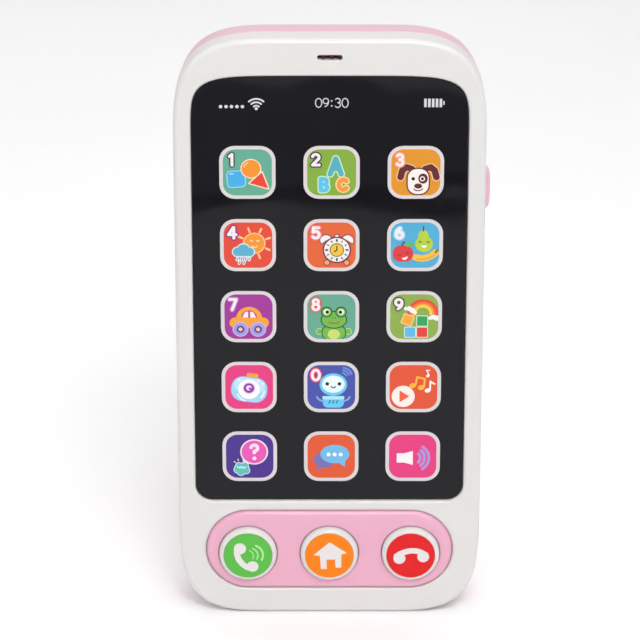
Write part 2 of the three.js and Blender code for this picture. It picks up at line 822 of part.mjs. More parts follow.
function wires() {
  const radius = 0.6;
  const boardFace = BOARD.back + 2 * GAP;
  const wire = (name, points, look) => {
    add(name, lead(points.map((p) => v3(...p)), radius, 8, 20), look);
  };
  const { pitch } = CELL;
  wire(
    'battery_wire_black',
    [
      [pitch, 4, 34],
      [pitch, 4, 31.2],
      [pitch, 3.2, 28.4],
      [pitch, 1.6, 26.7],
      [pitch, boardFace, 26.4],
    ],
    LOOK.blackWire,
  );
  wire(
    'battery_wire_red',
    [
      [-pitch, 0, 89],
      [-pitch, 0, 92],
      [-15, 0, 94.5],
      [-21, 0, 92],
      [-23.5, 0, 84],
      [-23.5, 0, 60],
      [-23.5, 0, 38],
      [-22, 1.2, 31],
      [-20.4, 1.6, 26.6],
      [-20, boardFace, 25.8],
    ],
    LOOK.redWire,
  );
  for (const [name, s, look] of [
    ['speaker_wire_red', -1, LOOK.redWire],
    ['speaker_wire_black', 1, LOOK.blackWire],
  ]) {
    wire(
      name,
      [
        [s * 6, 4.4, 108],
        [s * 7, 2, 104.5],
        [s * 12, 1, 101],
        [s * 21, 1.5, 97],
        [s * 26.5, 2, 86],
        [s * 26.5, 2, 60],
        [s * 26, 2, 42],
        [s * 22.8, 3, 33],
        [s * 17.4, 2.6, 26.6],
        [s * 16.6, boardFace, 25.4],
      ],
      look,
    );
  }
  wire(
    'lamp_wire',
    [
      [-4, 1, 145.4],
      [-4.3, 2.6, 144.4],
      [-7, 3.4, 141],
      [-14, 3.2, 138],
      [-22.6, 3, 128],
      [-25.4, 3, 118],
      [-30, 2, 104],
      [-30.5, 2, 80],
      [-30.5, 2, 50],
      [-27, 4.8, 40],
      [-23.6, 5.2, 33],
      [-24.6, 3.4, 26],
      [-25, boardFace, 24.6],
    ],
    LOOK.whiteWire,
  );
  wire(
    'switch_wire',
    [
      [28.2, -2, 106.4],
      [30, -1.8, 102.5],
      [30.8, 0, 96],
      [30.5, 2, 84],
      [30.5, 2, 50],
      [27, 4.8, 40],
      [23.6, 5.2, 33],
      [24.6, 3.4, 26],
      [25, boardFace, 24.6],
    ],
    LOOK.whiteWire,
  );
}

casing();
screen();
keypad();
boards();
lamp();
sideKey();
speaker();
batteries();
wires();

export default phone;
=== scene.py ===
"""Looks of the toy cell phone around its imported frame: metres, upright, screen facing -Y."""
import json
import math

import bmesh
import bpy
import numpy as np
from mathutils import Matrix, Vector


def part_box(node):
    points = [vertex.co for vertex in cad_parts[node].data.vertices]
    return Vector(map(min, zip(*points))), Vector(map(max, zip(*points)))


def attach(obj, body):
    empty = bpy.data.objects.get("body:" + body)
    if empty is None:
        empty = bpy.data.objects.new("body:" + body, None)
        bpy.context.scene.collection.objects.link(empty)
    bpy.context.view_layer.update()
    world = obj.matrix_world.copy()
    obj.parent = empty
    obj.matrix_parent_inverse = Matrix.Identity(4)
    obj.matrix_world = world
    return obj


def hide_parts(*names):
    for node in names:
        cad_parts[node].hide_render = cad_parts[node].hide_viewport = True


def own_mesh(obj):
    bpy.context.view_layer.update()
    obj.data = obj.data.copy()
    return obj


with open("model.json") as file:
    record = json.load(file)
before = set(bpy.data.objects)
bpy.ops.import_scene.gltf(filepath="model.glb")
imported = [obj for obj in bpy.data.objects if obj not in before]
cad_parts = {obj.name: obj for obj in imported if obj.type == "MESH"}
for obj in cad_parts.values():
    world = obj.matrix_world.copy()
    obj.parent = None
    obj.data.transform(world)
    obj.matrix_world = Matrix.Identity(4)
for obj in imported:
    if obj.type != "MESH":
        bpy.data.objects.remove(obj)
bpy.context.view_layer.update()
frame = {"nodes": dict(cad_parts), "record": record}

MM = 0.001
GAP = 0.3  # clearance between touching pieces


def box_mm(node):
    """A node's lowest and highest corners in millimetres."""
    low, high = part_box(node)
    return [v / MM for v in low], [v / MM for v in high]


# ------------------------------------------------------------------ sizes, in millimetres

BEZEL_LOW, BEZEL_HIGH = box_mm("front_bezel")
FILM_LOW, FILM_HIGH = box_mm("screen_overlay")
DOOR_LOW, DOOR_HIGH = box_mm("battery_door")
KEY_LOW, KEY_HIGH = box_mm("side_key")
KEY_Y, KEY_Z = [(KEY_LOW[i] + KEY_HIGH[i]) / 2 for i in (1, 2)]
KEY_HALF, KEY_RADIUS = 5.75, 1.8
DISC_LOW, DISC_HIGH = box_mm("home_disc")

HALF_WIDTH = BEZEL_HIGH[0]
HEIGHT = BEZEL_HIGH[2]
FRONT = BEZEL_LOW[1]
BACK = box_mm("rear_cover")[1][1]
SEAM = -3.2
SEAM_BEVEL = 0.25
WALL = 2.0
FLAT = 12.0
FOOT_CORNER = (30.0, 3.8)  # height and superellipse power of the lower corners
HEAD_CORNER = (26.5, 3.25)
FRONT_ROUND = 1.25
DRAFT = 0.45  # how far the rear cover's side walls lean in before the shoulder
SHOULDER_START = 2.0
SHOULDER_INSET = 5.5 - DRAFT

SCREEN_HALF = FILM_HIGH[0] + GAP
SCREEN_BOTTOM = FILM_LOW[2] - GAP
SCREEN_TOP = FILM_HIGH[2] + GAP
SCREEN_FOOT_ROUND = 4.2
SCREEN_WALL = 1.6
SCREEN_HEAD = (20.0, 6.5)
FILM_FACE = FILM_LOW[1]
RECESS_FLOOR = -6.1
FLOOR_BACK = -4.7

PAD_Z = 17.6
PAD_HALF_HEIGHT = 10.75
PAD_HALF_LENGTH = 30.85
PAD_FACE = box_mm("keypad_frame")[0][1]
PAD_BACK = -7.1
PAD_ROUND = 1.5

KEYS = ("call", "home", "end")
BUTTON_X = [sum(corner[0] for corner in box_mm(f"{name}_disc")) / 2 for name in KEYS]
BUTTON_Z = (DISC_LOW[2] + DISC_HIGH[2]) / 2
DISC_FACE = box_mm("call_disc")[0][1]
BUTTON_RADIUS = 7.25
BUTTON_HOLE = 7.38
CAP_ROUND = 1.5
CAP_WELL = (3.4, 6.2, -8.6)  # inner and outer radius of the groove in a cap's back, and its floor
FLANGE_RADIUS = 8.4
FLANGE_FRONT = -6.8
DOME_HEIGHT = 1.9

LEDGE = 7.7  # where the rear cover's inner face and the door's seat lie
BAY_HALF, BAY_BOTTOM, BAY_TOP, BAY_FRONT = 17.4, 34.0, 89.0, -3.2
DOOR_FOOT = 31.3
DOOR_CORNER = 1.0
TAB_X = 11.0
TAB_TOP = 33.0
BATTERY_BLOCK = (-22, 22, 29.6, 99.5)  # left, right, bottom and top
BATTERY_SHAFT = (-18.9, 18.9, 32.5, 98.6)
BLOCK_FRONT, SHAFT_FRONT = 4.6, -4.4
DOOR_SCREW_Z = 93.0
DOOR_SEAT = 5.1  # floor of the hole that the door's screw boss stands in
SPEAKER_Z = 118.0
SPEAKER_RINGS = ((4.0, 6), (8.0, 12))  # radius and number of holes round the middle one
SPEAKER_HOLE = 0.9
SCREW_WELLS = [(-28.5, 33.0), (28.5, 33.0), (-27.0, 129.0), (27.0, 129.0)]
WELL_RADIUS, WELL_FLOOR = 2.5, 5.0
CASE_SCREW = (7.1, -4.6, 2.2, 1.1)  # depths of head and tip, radii of head and shank
DOOR_SCREW = (8.9, 1.2, 2.5, 1.2)
LAMP_Z, LAMP_HALF, LAMP_HALF_HEIGHT = 147.0, 3.0, 0.66


# ------------------------------------------------------------------ materials

def shaded(rgb, factor=1.0):
    """sRGB 0 to 255 as linear light times a factor."""
    out = []
    for c in rgb:
        c = c / 255
        out.append((c / 12.92 if c <= 0.04045 else ((c + 0.055) / 1.055) ** 2.4) * factor)
    return tuple(out) + (1.0,)


class Look:
    """A material whose variation comes from noise in the piece's own space."""

    def __init__(self, name):
        self.mat = bpy.data.materials.new(name)
        self.mat.use_nodes = True
        self.tree = self.mat.node_tree
        self.shader = self.tree.nodes["Principled BSDF"]
        self.place = self.tree.nodes.new("ShaderNodeTexCoord").outputs["Object"]

    def mapped(self, socket, value):
        mapping = self.tree.nodes.new("ShaderNodeMapping")
        mapping.inputs[socket].default_value = value
        self.tree.links.new(self.place, mapping.inputs["Vector"])
        return mapping.outputs["Vector"]

    def noise(self, scale, detail=3.0, rough=0.5, stretch=None):
        node = self.tree.nodes.new("ShaderNodeTexNoise")
        node.inputs["Scale"].default_value = scale
        node.inputs["Detail"].default_value = detail
        node.inputs["Roughness"].default_value = rough
        source = self.mapped("Scale", stretch) if stretch else self.place
        self.tree.links.new(source, node.inputs["Vector"])
        return node.outputs["Fac"]

    def spread(self, fac, low=0.0, high=1.0, reach=0.2):
        """Noise stretched over a range of values; a wide reach never flattens its extremes."""
        node = self.tree.nodes.new("ShaderNodeMapRange")
        node.inputs["From Min"].default_value = 0.5 - reach
        node.inputs["From Max"].default_value = 0.5 + reach
        node.inputs["To Min"].default_value = low
        node.inputs["To Max"].default_value = high
        self.tree.links.new(fac, node.inputs["Value"])
        return node.outputs["Result"]

    def colour(self, fac, first, second):
        node = self.tree.nodes.new("ShaderNodeMix")
        node.data_type = "RGBA"
        node.inputs["A"].default_value = first
        node.inputs["B"].default_value = second
        self.tree.links.new(fac, node.inputs["Factor"])
        self.tree.links.new(node.outputs["Result"], self.shader.inputs["Base Color"])

    def roughness(self, fac, low, high, reach=0.2):
        self.tree.links.new(self.spread(fac, low, high, reach), self.shader.inputs["Roughness"])

    def bump(self, *layers):
        """Stacked bumps, each a height, a depth in metres and a strength."""
        normal = None
        for height, depth, strength in layers:
            node = self.tree.nodes.new("ShaderNodeBump")
            node.inputs["Distance"].default_value = depth
            node.inputs["Strength"].default_value = strength
            self.tree.links.new(height, node.inputs["Height"])
            if normal:
                self.tree.links.new(normal, node.inputs["Normal"])
            normal = node.outputs["Normal"]
        self.tree.links.new(normal, self.shader.inputs["Normal"])

    def set(self, values):
        for socket, value in values.items():
            self.shader.inputs[socket].default_value = value


def plastic(name, rgb, rough=(0.26, 0.36), variation=0.012, coat=0.15, soft=0.0, gloss=0.5):
    """Injection-moulded plastic: faint flow marks, a fine polish grain and hairline scratches."""
    look = Look(name)
    flow = look.noise(45, 2.0, 0.4, (1.0, 1.0, 0.45))
    look.colour(flow, shaded(rgb, 1 - variation), shaded(rgb, 1 + variation))
    look.roughness(look.noise(160, 2.0), *rough, 0.5)
    scratches = look.noise(900, 5.0, 0.7, (1.0, 1.0, 0.05))
    grain = look.noise(5200, 2.0)
    look.bump((flow, 0.00002, 0.1), (scratches, 0.000004, 0.05), (grain, 0.000006, 0.25))
    look.set({"Specular IOR Level": gloss, "Coat Weight": coat, "Coat Roughness": 0.12, "IOR": 1.5})
    if soft:
        look.set({"Subsurface Weight": soft, "Subsurface Radius": (0.0012, 0.001, 0.0009),
                  "Subsurface Scale": 1.0})
    return look.mat


def film(name, rgb):
    """Glossy printed film: a slow waviness under tension and a very fine orange peel."""
    look = Look(name)
    look.colour(look.spread(look.noise(70)), shaded(rgb, 0.9), shaded(rgb, 1.1))
    look.roughness(look.noise(300, 4.0), 0.04, 0.07)
    wave = look.noise(26, 1.0, 0.4, (1.0, 1.0, 1.6))
    look.bump((wave, 0.0012, 0.35), (look.noise(1600, 2.0), 0.000004, 0.25))
    look.set({"Specular IOR Level": 0.23})
    return look.mat


INKS = {}


def ink(rgb):
    """Screen-printed ink seen through the film's gloss: fine halftone mottling."""
    if rgb not in INKS:
        look = Look("ink_%02x%02x%02x" % rgb)
        dots = look.noise(5200, 2.0)
        look.colour(dots, shaded(rgb, 0.9), shaded(rgb))
        look.roughness(look.noise(400, 2.0), 0.2, 0.3, 0.5)
        look.bump((dots, 0.000004, 0.15))
        look.set({"Specular IOR Level": 0.25})
        INKS[rgb] = look.mat
    return INKS[rgb]


def metal(name, rgb, rough=(0.22, 0.4)):
    """Plated metal: tumbling marks, dull patches and a trace of tarnish."""
    look = Look(name)
    tarnish = look.spread(look.noise(220, 5.0, 0.65))
    look.colour(tarnish, shaded(rgb, 0.78), shaded(rgb, 1.05))
    look.roughness(look.noise(700, 4.0), *rough)
    look.bump((look.noise(2400, 3.0, 0.6), 0.00001, 0.25))
    look.set({"Metallic": 1.0})
    return look.mat


def rubbery(name, rgb, sheen=0.2):
    """Silicone, jackets and other soft plastics: dusty, with a fine moulded grain."""
    look = Look(name)
    dust = look.spread(look.noise(300, 5.0, 0.6))
    look.colour(dust, shaded(rgb, 0.88), shaded(rgb, 1.1))
    look.roughness(dust, 0.5, 0.75)
    look.bump((look.noise(3800), 0.00001, 0.4))
    look.set({"Sheen Weight": sheen})
    return look.mat


def circuit(name, rgb):
    """Circuit board: solder mask over a weave of copper tracks."""
    look = Look(name)
    tracks = look.tree.nodes.new("ShaderNodeTexBrick")
    tracks.inputs["Scale"].default_value = 260
    tracks.inputs["Mortar Size"].default_value = 0.012
    for socket, factor in (("Color1", 1.0), ("Color2", 0.8), ("Mortar", 1.7)):
        tracks.inputs[socket].default_value = shaded(rgb, factor)
    turned_up = look.mapped("Rotation", (math.pi / 2, 0.0, 0.0))
    look.tree.links.new(turned_up, tracks.inputs["Vector"])
    look.tree.links.new(tracks.outputs["Color"], look.shader.inputs["Base Color"])
    look.roughness(look.noise(500), 0.3, 0.5)
    look.bump((tracks.outputs["Fac"], 0.00003, 0.5))
    return look.mat


def lamp_red(name):
    """Clear red lens with a faint swirl."""
    look = Look(name)
    swirl = look.spread(look.noise(900))
    look.colour(swirl, shaded((190, 12, 22)), shaded((235, 30, 38)))
    look.roughness(swirl, 0.08, 0.2)
    look.bump((swirl, 0.00002, 0.3))
    look.set({"Transmission Weight": 0.2, "Emission Color": shaded((220, 20, 28)),
              "Emission Strength": 0.25})
    return look.mat


def disc(name, rgb):
    return plastic(name, rgb, (0.18, 0.26), 0.02, 0.0, 0.0, 0.2)


WHITE = plastic("white_abs", (214, 212, 210), soft=0.05)
CAP_WHITE = plastic("white_cap_abs", (216, 213, 210), rough=(0.2, 0.28), soft=0.05)
PINK = plastic("pink_abs", (222, 179, 194), soft=0.05)
PAD_PINK = plastic("pink_pad_abs", (224, 166, 189), rough=(0.28, 0.38), soft=0.05)
DISCS = {
    "call": disc("green_disc_print", (89, 181, 71)),
    "home": disc("orange_disc_print", (243, 125, 13)),
    "end": disc("red_disc_print", (216, 28, 31)),
}
FILM = film("black_screen_film", (20, 20, 25))
STEEL = metal("plated_steel", (190, 193, 196))
SLOT_LOOKS = {
    "white_shell": WHITE,
    "pink_shell": PINK,
    "pink_pad": PAD_PINK,
    "white_cap": CAP_WHITE,
    "printed_film": FILM,
    "membrane_film": rubbery("polyester_sheet", (214, 214, 200), 0.0),
    "silicone": rubbery("grey_silicone", (184, 184, 180)),
    "green_disc": DISCS["call"],
    "orange_disc": DISCS["home"],
    "red_disc": DISCS["end"],
    "black_plastic": plastic("black_abs", (22, 22, 24), rough=(0.35, 0.5)),
    "lamp_red": lamp_red("red_lens"),
    "circuit_board": circuit("green_board", (24, 104, 58)),
    "epoxy": plastic("black_resin", (14, 14, 15), rough=(0.15, 0.3)),
    "steel": STEEL,
    "cone_paper": rubbery("speaker_cone_paper", (34, 34, 36)),
    "cell_jacket": metal("cell_jacket_metal", (60, 120, 190), (0.25, 0.4)),
    "red_wire": rubbery("red_insulation", (196, 32, 34), 0.05),
    "black_wire": rubbery("black_insulation", (24, 24, 26), 0.05),
    "white_wire": rubbery("white_insulation", (222, 220, 216), 0.05),
}


# ------------------------------------------------------------------ outlines

def quarter(centre_x, centre_z, a, b, power, side, steps):
    """A superellipse quarter from its lowest or highest point to its side, with normals."""
    points = []
    ease = power / 2
    for i in range(steps + 1):
        s = i / steps
        share = s ** ease / (s ** ease + (1 - s) ** ease)
        t = math.pi / 2 * (1 - share)
        u = max(math.cos(t), 0.0) ** (2 / power)
        w = max(math.sin(t), 0.0) ** (2 / power)
        slope_x, slope_z = u ** (power - 1) / a, w ** (power - 1) / b
        size = math.hypot(slope_x, slope_z)
        points.append((centre_x + a * u, centre_z + side * b * w, slope_x / size,
                       side * slope_z / size))
    return points


def mirrored(right_half, inset):
    right = [(x - inset * nx, z - inset * nz) for x, z, nx, nz in right_half]
    left = [(-x, z) for x, z in reversed(right) if x > 0.01]
    return right + left


def case_outline(inset=0.0, steps=26):
    a = HALF_WIDTH - FLAT
    foot, foot_power = FOOT_CORNER
    head, head_power = HEAD_CORNER
    lower = quarter(FLAT, foot, a, foot, foot_power, -1, steps)
    upper = quarter(FLAT, HEIGHT - head, a, head, head_power, 1, steps)
    return mirrored(lower + upper[::-1], inset)


def screen_outline(inset=0.0):
    head, power = SCREEN_HEAD
    r = SCREEN_FOOT_ROUND
    lower = quarter(SCREEN_HALF - r, SCREEN_BOTTOM + r, r, r, 2, -1, 14)
    upper = quarter(0, SCREEN_TOP - head, SCREEN_HALF, head, power, 1, 40)
    return mirrored(lower + upper[::-1], inset)


def pad_outline(inset=0.0):
    r = PAD_HALF_HEIGHT
    lower = quarter(PAD_HALF_LENGTH - r, PAD_Z, r, r, 2, -1, 22)
    upper = quarter(PAD_HALF_LENGTH - r, PAD_Z, r, r, 2, 1, 22)
    return mirrored(lower + upper[::-1][1:], inset)


def ring(x, z, radius, steps=32):
    angles = [2 * math.pi * i / steps for i in range(steps)]
    return [(x + radius * math.cos(a), z + radius * math.sin(a)) for a in angles]


def rounded_box(x0, x1, z0, z1, r, steps=6):
    points = []
    corners = [(x1 - r, z1 - r, 0), (x0 + r, z1 - r, 1), (x0 + r, z0 + r, 2), (x1 - r, z0 + r, 3)]
    for cx, cz, turn in corners:
        for i in range(steps + 1):
            a = math.pi / 2 * (turn + i / steps)
            points.append((cx + r * math.cos(a), cz + r * math.sin(a)))
    return points


def sweep(u, v, r, start, end, steps=24, squash=1.0):
    """Points along an arc, from one angle to another in degrees."""
    points = []
    for i in range(steps + 1):
        a = math.radians(start + (end - start) * i / steps)
        points.append((u + r * math.cos(a), v + r * squash * math.sin(a)))
    return points


# ------------------------------------------------------------------ mesh building

def bands(bm, loops):
    """Faces between each loop of vertices and the next."""
    for a, b in zip(loops, loops[1:]):
        for i in range(len(a)):
            j = (i + 1) % len(a)
            bm.faces.new((a[i], a[j], b[j], b[i]))
    return loops


def solid(bm, loops):
    """Bands closed by a flat face at each end."""
    bands(bm, loops)
    bm.faces.new(loops[0][::-1])
    bm.faces.new(loops[-1])


def add_mesh(bm, name):
    """A bmesh as a new object in the scene."""
    mesh = bpy.data.meshes.new(name)
    bm.to_mesh(mesh)
    bm.free()
    obj = bpy.data.objects.new(name, mesh)
    bpy.context.scene.collection.objects.link(obj)
    return obj


class Skin:
    """A closed mesh made of loops of points at chosen depths along Y, in millimetres."""

    def __init__(self):
        self.bm = bmesh.new()

    def loop(self, points, y):
        return [self.bm.verts.new((x * MM, y * MM, z * MM)) for x, z in points]

    def loft(self, loops):
        return bands(self.bm, loops)

    def tube(self, outline, *depths):
        return self.loft([self.loop(outline, y) for y in depths])

    def plug(self, outline, *depths):
        """A tube closed at both ends."""
        loops = self.tube(outline, *depths)
        self.cap(loops[0])
        self.cap(loops[-1])

    def cap(self, *loops):
        edges = []
        for verts in loops:
            for i, v in enumerate(verts):
                pair = (v, verts[(i + 1) % len(verts)])
                edges.append(self.bm.edges.get(pair) or self.bm.edges.new(pair))
        bmesh.ops.triangle_fill(self.bm, use_beauty=True, edges=edges, normal=(0, -1, 0))

    def rounded(self, outline_at, y_flat, y_deep, radius, steps=5, outward=True):
        """Loops that roll from a flat face over a round edge and down a wall to y_deep."""
        sign = 1 if y_deep > y_flat else -1
        loops = []
        for i in range(steps + 1):
            a = math.pi / 2 * (1 - i / steps)
            inset = radius * (1 - math.cos(a))
            y = y_flat + sign * radius * (1 - math.sin(a))
            loops.append(self.loop(outline_at(inset if outward else -inset), y))
        loops.append(self.loop(outline_at(0.0), y_deep))
        return self.loft(loops)

    def hole(self, x, z, radius, y_flat, y_deep, lip=0.2, steps=32):
        """A round hole with a softened mouth. Returns its loops from the mouth inwards."""
        return self.rounded(lambda inset: ring(x, z, radius - inset, steps), y_flat, y_deep, lip,
                            3, outward=False)


def even_normals(obj):
    obj.modifiers.new("even_normals", "WEIGHTED_NORMAL").keep_sharp = True


def cut(obj, bm, use_self=False):
    """Takes a solid bmesh out of an object, whose modifiers go."""
    bmesh.ops.recalc_face_normals(bm, faces=bm.faces)
    cutter = add_mesh(bm, "cutter")
    obj.modifiers.clear()
    opening = obj.modifiers.new("opening", "BOOLEAN")
    opening.operation = "DIFFERENCE"
    opening.solver = "EXACT"
    opening.use_self = use_self
    opening.object = cutter
    shape = bpy.data.meshes.new_from_object(obj.evaluated_get(bpy.context.evaluated_depsgraph_get()))
    obj.modifiers.clear()
    obj.data = shape
    bpy.data.objects.remove(cutter)


def finish_mesh(bm, name, look, body, nodes, sharp=38):
    """Turns a bmesh into an object that stands for CAD nodes and rides on their body."""
    bmesh.ops.recalc_face_normals(bm, faces=bm.faces)
    for face in bm.faces:
        face.smooth = True
    for edge in bm.edges:
        if len(edge.link_faces) == 2 and edge.calc_face_angle(0.0) > math.radians(sharp):
            edge.smooth = False
    obj = add_mesh(bm, name)
    for mat in look if isinstance(look, list) else [look]:
        obj.data.materials.append(mat)
    even_normals(obj)
    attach(obj, body)
    if nodes:
        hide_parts(*nodes)
    return obj


def turned(bm, x, z, profile, sides=64, close=False):
    """Turns a section of (radius, y) points about an axis along Y."""
    rows = []
    for radius, y in profile:
        if radius < 1e-6:
            rows.append([bm.verts.new((x * MM, y * MM, z * MM))])
        else:
            rows.append([bm.verts.new((px * MM, y * MM, pz * MM))
                         for px, pz in ring(x, z, radius, sides)])
    pairs = list(zip(rows, rows[1:])) + ([(rows[-1], rows[0])] if close else [])
    faces = []
    for a, b in pairs:
        for i in range(sides):
            j = (i + 1) % sides
            if len(a) == 1:
                faces.append(bm.faces.new((a[0], b[j], b[i])))
            elif len(b) == 1:
                faces.append(bm.faces.new((a[i], a[j], b[0])))
            else:
                faces.append(bm.faces.new((a[i], a[j], b[j], b[i])))
    return faces


# ------------------------------------------------------------------ casing

def front_bezel():
    skin = Skin()
    outer = skin.rounded(case_outline, FRONT, SEAM - SEAM_BEVEL, FRONT_ROUND, 8)
    rim = skin.loft([outer[-1], skin.loop(case_outline(SEAM_BEVEL), SEAM)])[-1]
    screen = skin.rounded(screen_outline, FRONT, RECESS_FLOOR, 0.75, 6, outward=False)
    pad = skin.rounded(pad_outline, FRONT, FRONT + WALL, 0.8, 6, outward=False)

    def lamp_outline(inset):
        return rounded_box(-LAMP_HALF + inset, LAMP_HALF - inset, LAMP_Z - LAMP_HALF_HEIGHT + inset,
                           LAMP_Z + LAMP_HALF_HEIGHT - inset, 0.55 - inset * 0.4)

    lamp = skin.rounded(lamp_outline, FRONT, FRONT + WALL, 0.12, 3, outward=False)
    skin.cap(outer[0], screen[0], pad[0], lamp[0])
    skin.cap(screen[-1])
    inner = skin.tube(case_outline(WALL), FRONT + WALL, SEAM)
    block = skin.tube(screen_outline(-SCREEN_WALL), FRONT + WALL, FLOOR_BACK)
    skin.cap(inner[0], block[0], pad[-1], lamp[-1])
    skin.cap(block[-1])
    skin.cap(inner[-1], rim)
    finish_mesh(skin.bm, "white_front_shell", WHITE, "root", ["front_bezel"])


def film_sheet():
    skin = Skin()
    front = skin.rounded(lambda inset: screen_outline(GAP * 0.6 + inset), FILM_FACE,
                         FILM_FACE + 0.5, 0.12, 3)
    skin.cap(front[0])
    skin.cap(front[-1])
    finish_mesh(skin.bm, "black_screen", FILM, "root", ["screen_overlay"])


def shoulder_loops(skin, inset, back, spread_inset, steps):
    loops = []
    depth = back - SHOULDER_START
    for i in range(steps + 1):
        a = math.pi / 2 * i / steps
        outline = case_outline(inset + spread_inset * (1 - math.cos(a)))
        loops.append(skin.loop(outline, SHOULDER_START + depth * math.sin(a)))
    return loops


def speaker_hole_places():
    places = [(0.0, SPEAKER_Z)]
    for radius, count in SPEAKER_RINGS:
        places += ring(0, SPEAKER_Z, radius, count)
    return places


def rear_cover():
    skin = Skin()
    rim_y = SEAM + 0.02
    side = [skin.loop(case_outline(SEAM_BEVEL), rim_y),
            skin.loop(case_outline(), rim_y + SEAM_BEVEL)]
    outer = skin.loft(side + shoulder_loops(skin, DRAFT, BACK, SHOULDER_INSET, 16))
    inner = skin.loft([skin.loop(case_outline(WALL), rim_y)]
                      + shoulder_loops(skin, WALL, LEDGE, SHOULDER_INSET - 0.9, 10))
    skin.cap(outer[0], inner[0])

    def recess(inset):
        grow = GAP - inset
        return rounded_box(DOOR_LOW[0] - grow, DOOR_HIGH[0] + grow, DOOR_FOOT - grow,
                           DOOR_HIGH[2] + grow, DOOR_CORNER + 0.2)

    door = skin.rounded(recess, BACK, LEDGE, 0.25, 3, outward=False)
    wells = [skin.hole(x, z, WELL_RADIUS, BACK, WELL_FLOOR, 0.3) for x, z in SCREW_WELLS]
    for well in wells:
        skin.cap(well[-1])
    holes = [skin.hole(x, z, SPEAKER_HOLE, BACK, LEDGE, 0.2, 20)
             for x, z in speaker_hole_places()]
    skin.cap(outer[-1], door[0], *[w[0] for w in wells], *[h[0] for h in holes])

    cavity = skin.tube(rounded_box(-BAY_HALF, BAY_HALF, BAY_BOTTOM, BAY_TOP, 0.8), LEDGE, BAY_FRONT)
    skin.cap(cavity[-1])
    screw_hole = skin.tube(ring(0, DOOR_SCREW_Z, 1.8), DOOR_SEAT, 0.8)
    boss_hole = skin.tube(ring(0, DOOR_SCREW_Z, 4.25), LEDGE, DOOR_SEAT)
    tab_slots = [skin.tube(rounded_box(x - 2.3, x + 2.3, 31.15, TAB_TOP + 0.8, 0.3, 2), LEDGE, 5.6)
                 for x in (-TAB_X, TAB_X)]
    skin.cap(door[-1], cavity[0], boss_hole[0], *[t[0] for t in tab_slots])
    for tab_slot in tab_slots:
        skin.cap(tab_slot[-1])
    skin.cap(boss_hole[-1], screw_hole[0])
    skin.cap(screw_hole[-1])

    block = skin.tube(rounded_box(*BATTERY_BLOCK, 1.0), LEDGE, BLOCK_FRONT)
    shaft = skin.tube(rounded_box(*BATTERY_SHAFT, 1.0), BLOCK_FRONT, SHAFT_FRONT)
    skin.cap(block[-1], shaft[0])
    skin.cap(shaft[-1])
    bosses = [skin.tube(ring(x, z, 3.3), LEDGE, 1.0) for x, z in SCREW_WELLS]
    for boss in bosses:
        skin.cap(boss[-1])
    skin.cap(inner[-1], block[0], *[b[0] for b in bosses], *[h[-1] for h in holes])
    cover = finish_mesh(skin.bm, "pink_rear_shell", PINK, "root", ["rear_cover"])
    cut_key_slot(cover)


def pill(half_length, radius, steps=10):
    """An upright pill outline as (across, along) points."""
    straight = half_length - radius
    upper = sweep(0, straight, radius, 0, 180, steps)
    return upper + sweep(0, -straight, radius, 180, 360, steps)


def key_loop(bm, outline, x):
    """An outline's vertices about the side key's axis."""
    return [bm.verts.new((x * MM, (KEY_Y + w) * MM, (KEY_Z + h) * MM)) for w, h in outline]


def cut_key_slot(cover):
    """Opens the side wall for the side key."""
    bm = bmesh.new()
    outline = pill(KEY_HALF + GAP, KEY_RADIUS + GAP)
    solid(bm, [key_loop(bm, outline, x) for x in (HALF_WIDTH - 3, HALF_WIDTH + 1)])
    cut(cover, bm)
    even_normals(cover)


def side_key():
    """A pill with a crowned face, on a flange that holds it in, with a peg behind."""
    bm = bmesh.new()
    crown, steps = 1.7, 8
    last = math.radians(84)
    levels = [(HALF_WIDTH - 3.2, 1.0)]
    for i in range(steps + 1):
        a = last * i / steps
        levels.append((KEY_HIGH[0] - crown + crown * math.sin(a) / math.sin(last),
                       math.cos(a) ** 0.45))
    pill_points = pill(KEY_HALF, KEY_RADIUS, 12)
    solid(bm, [key_loop(bm, [(w * size, h * size) for w, h in pill_points], x)
               for x, size in levels])
    flange, peg = (33.7, 34.9, 2.8, 7.0), (33.0, 33.6, 1.0, 1.0)
    for x0, x1, w, h in (flange, peg):
        corners = [(-w, -h), (w, -h), (w, h), (-w, h)]
        solid(bm, [key_loop(bm, corners, x) for x in (x0, x1)])
    finish_mesh(bm, "pink_side_key", PINK, "side_push_key", ["side_key"])


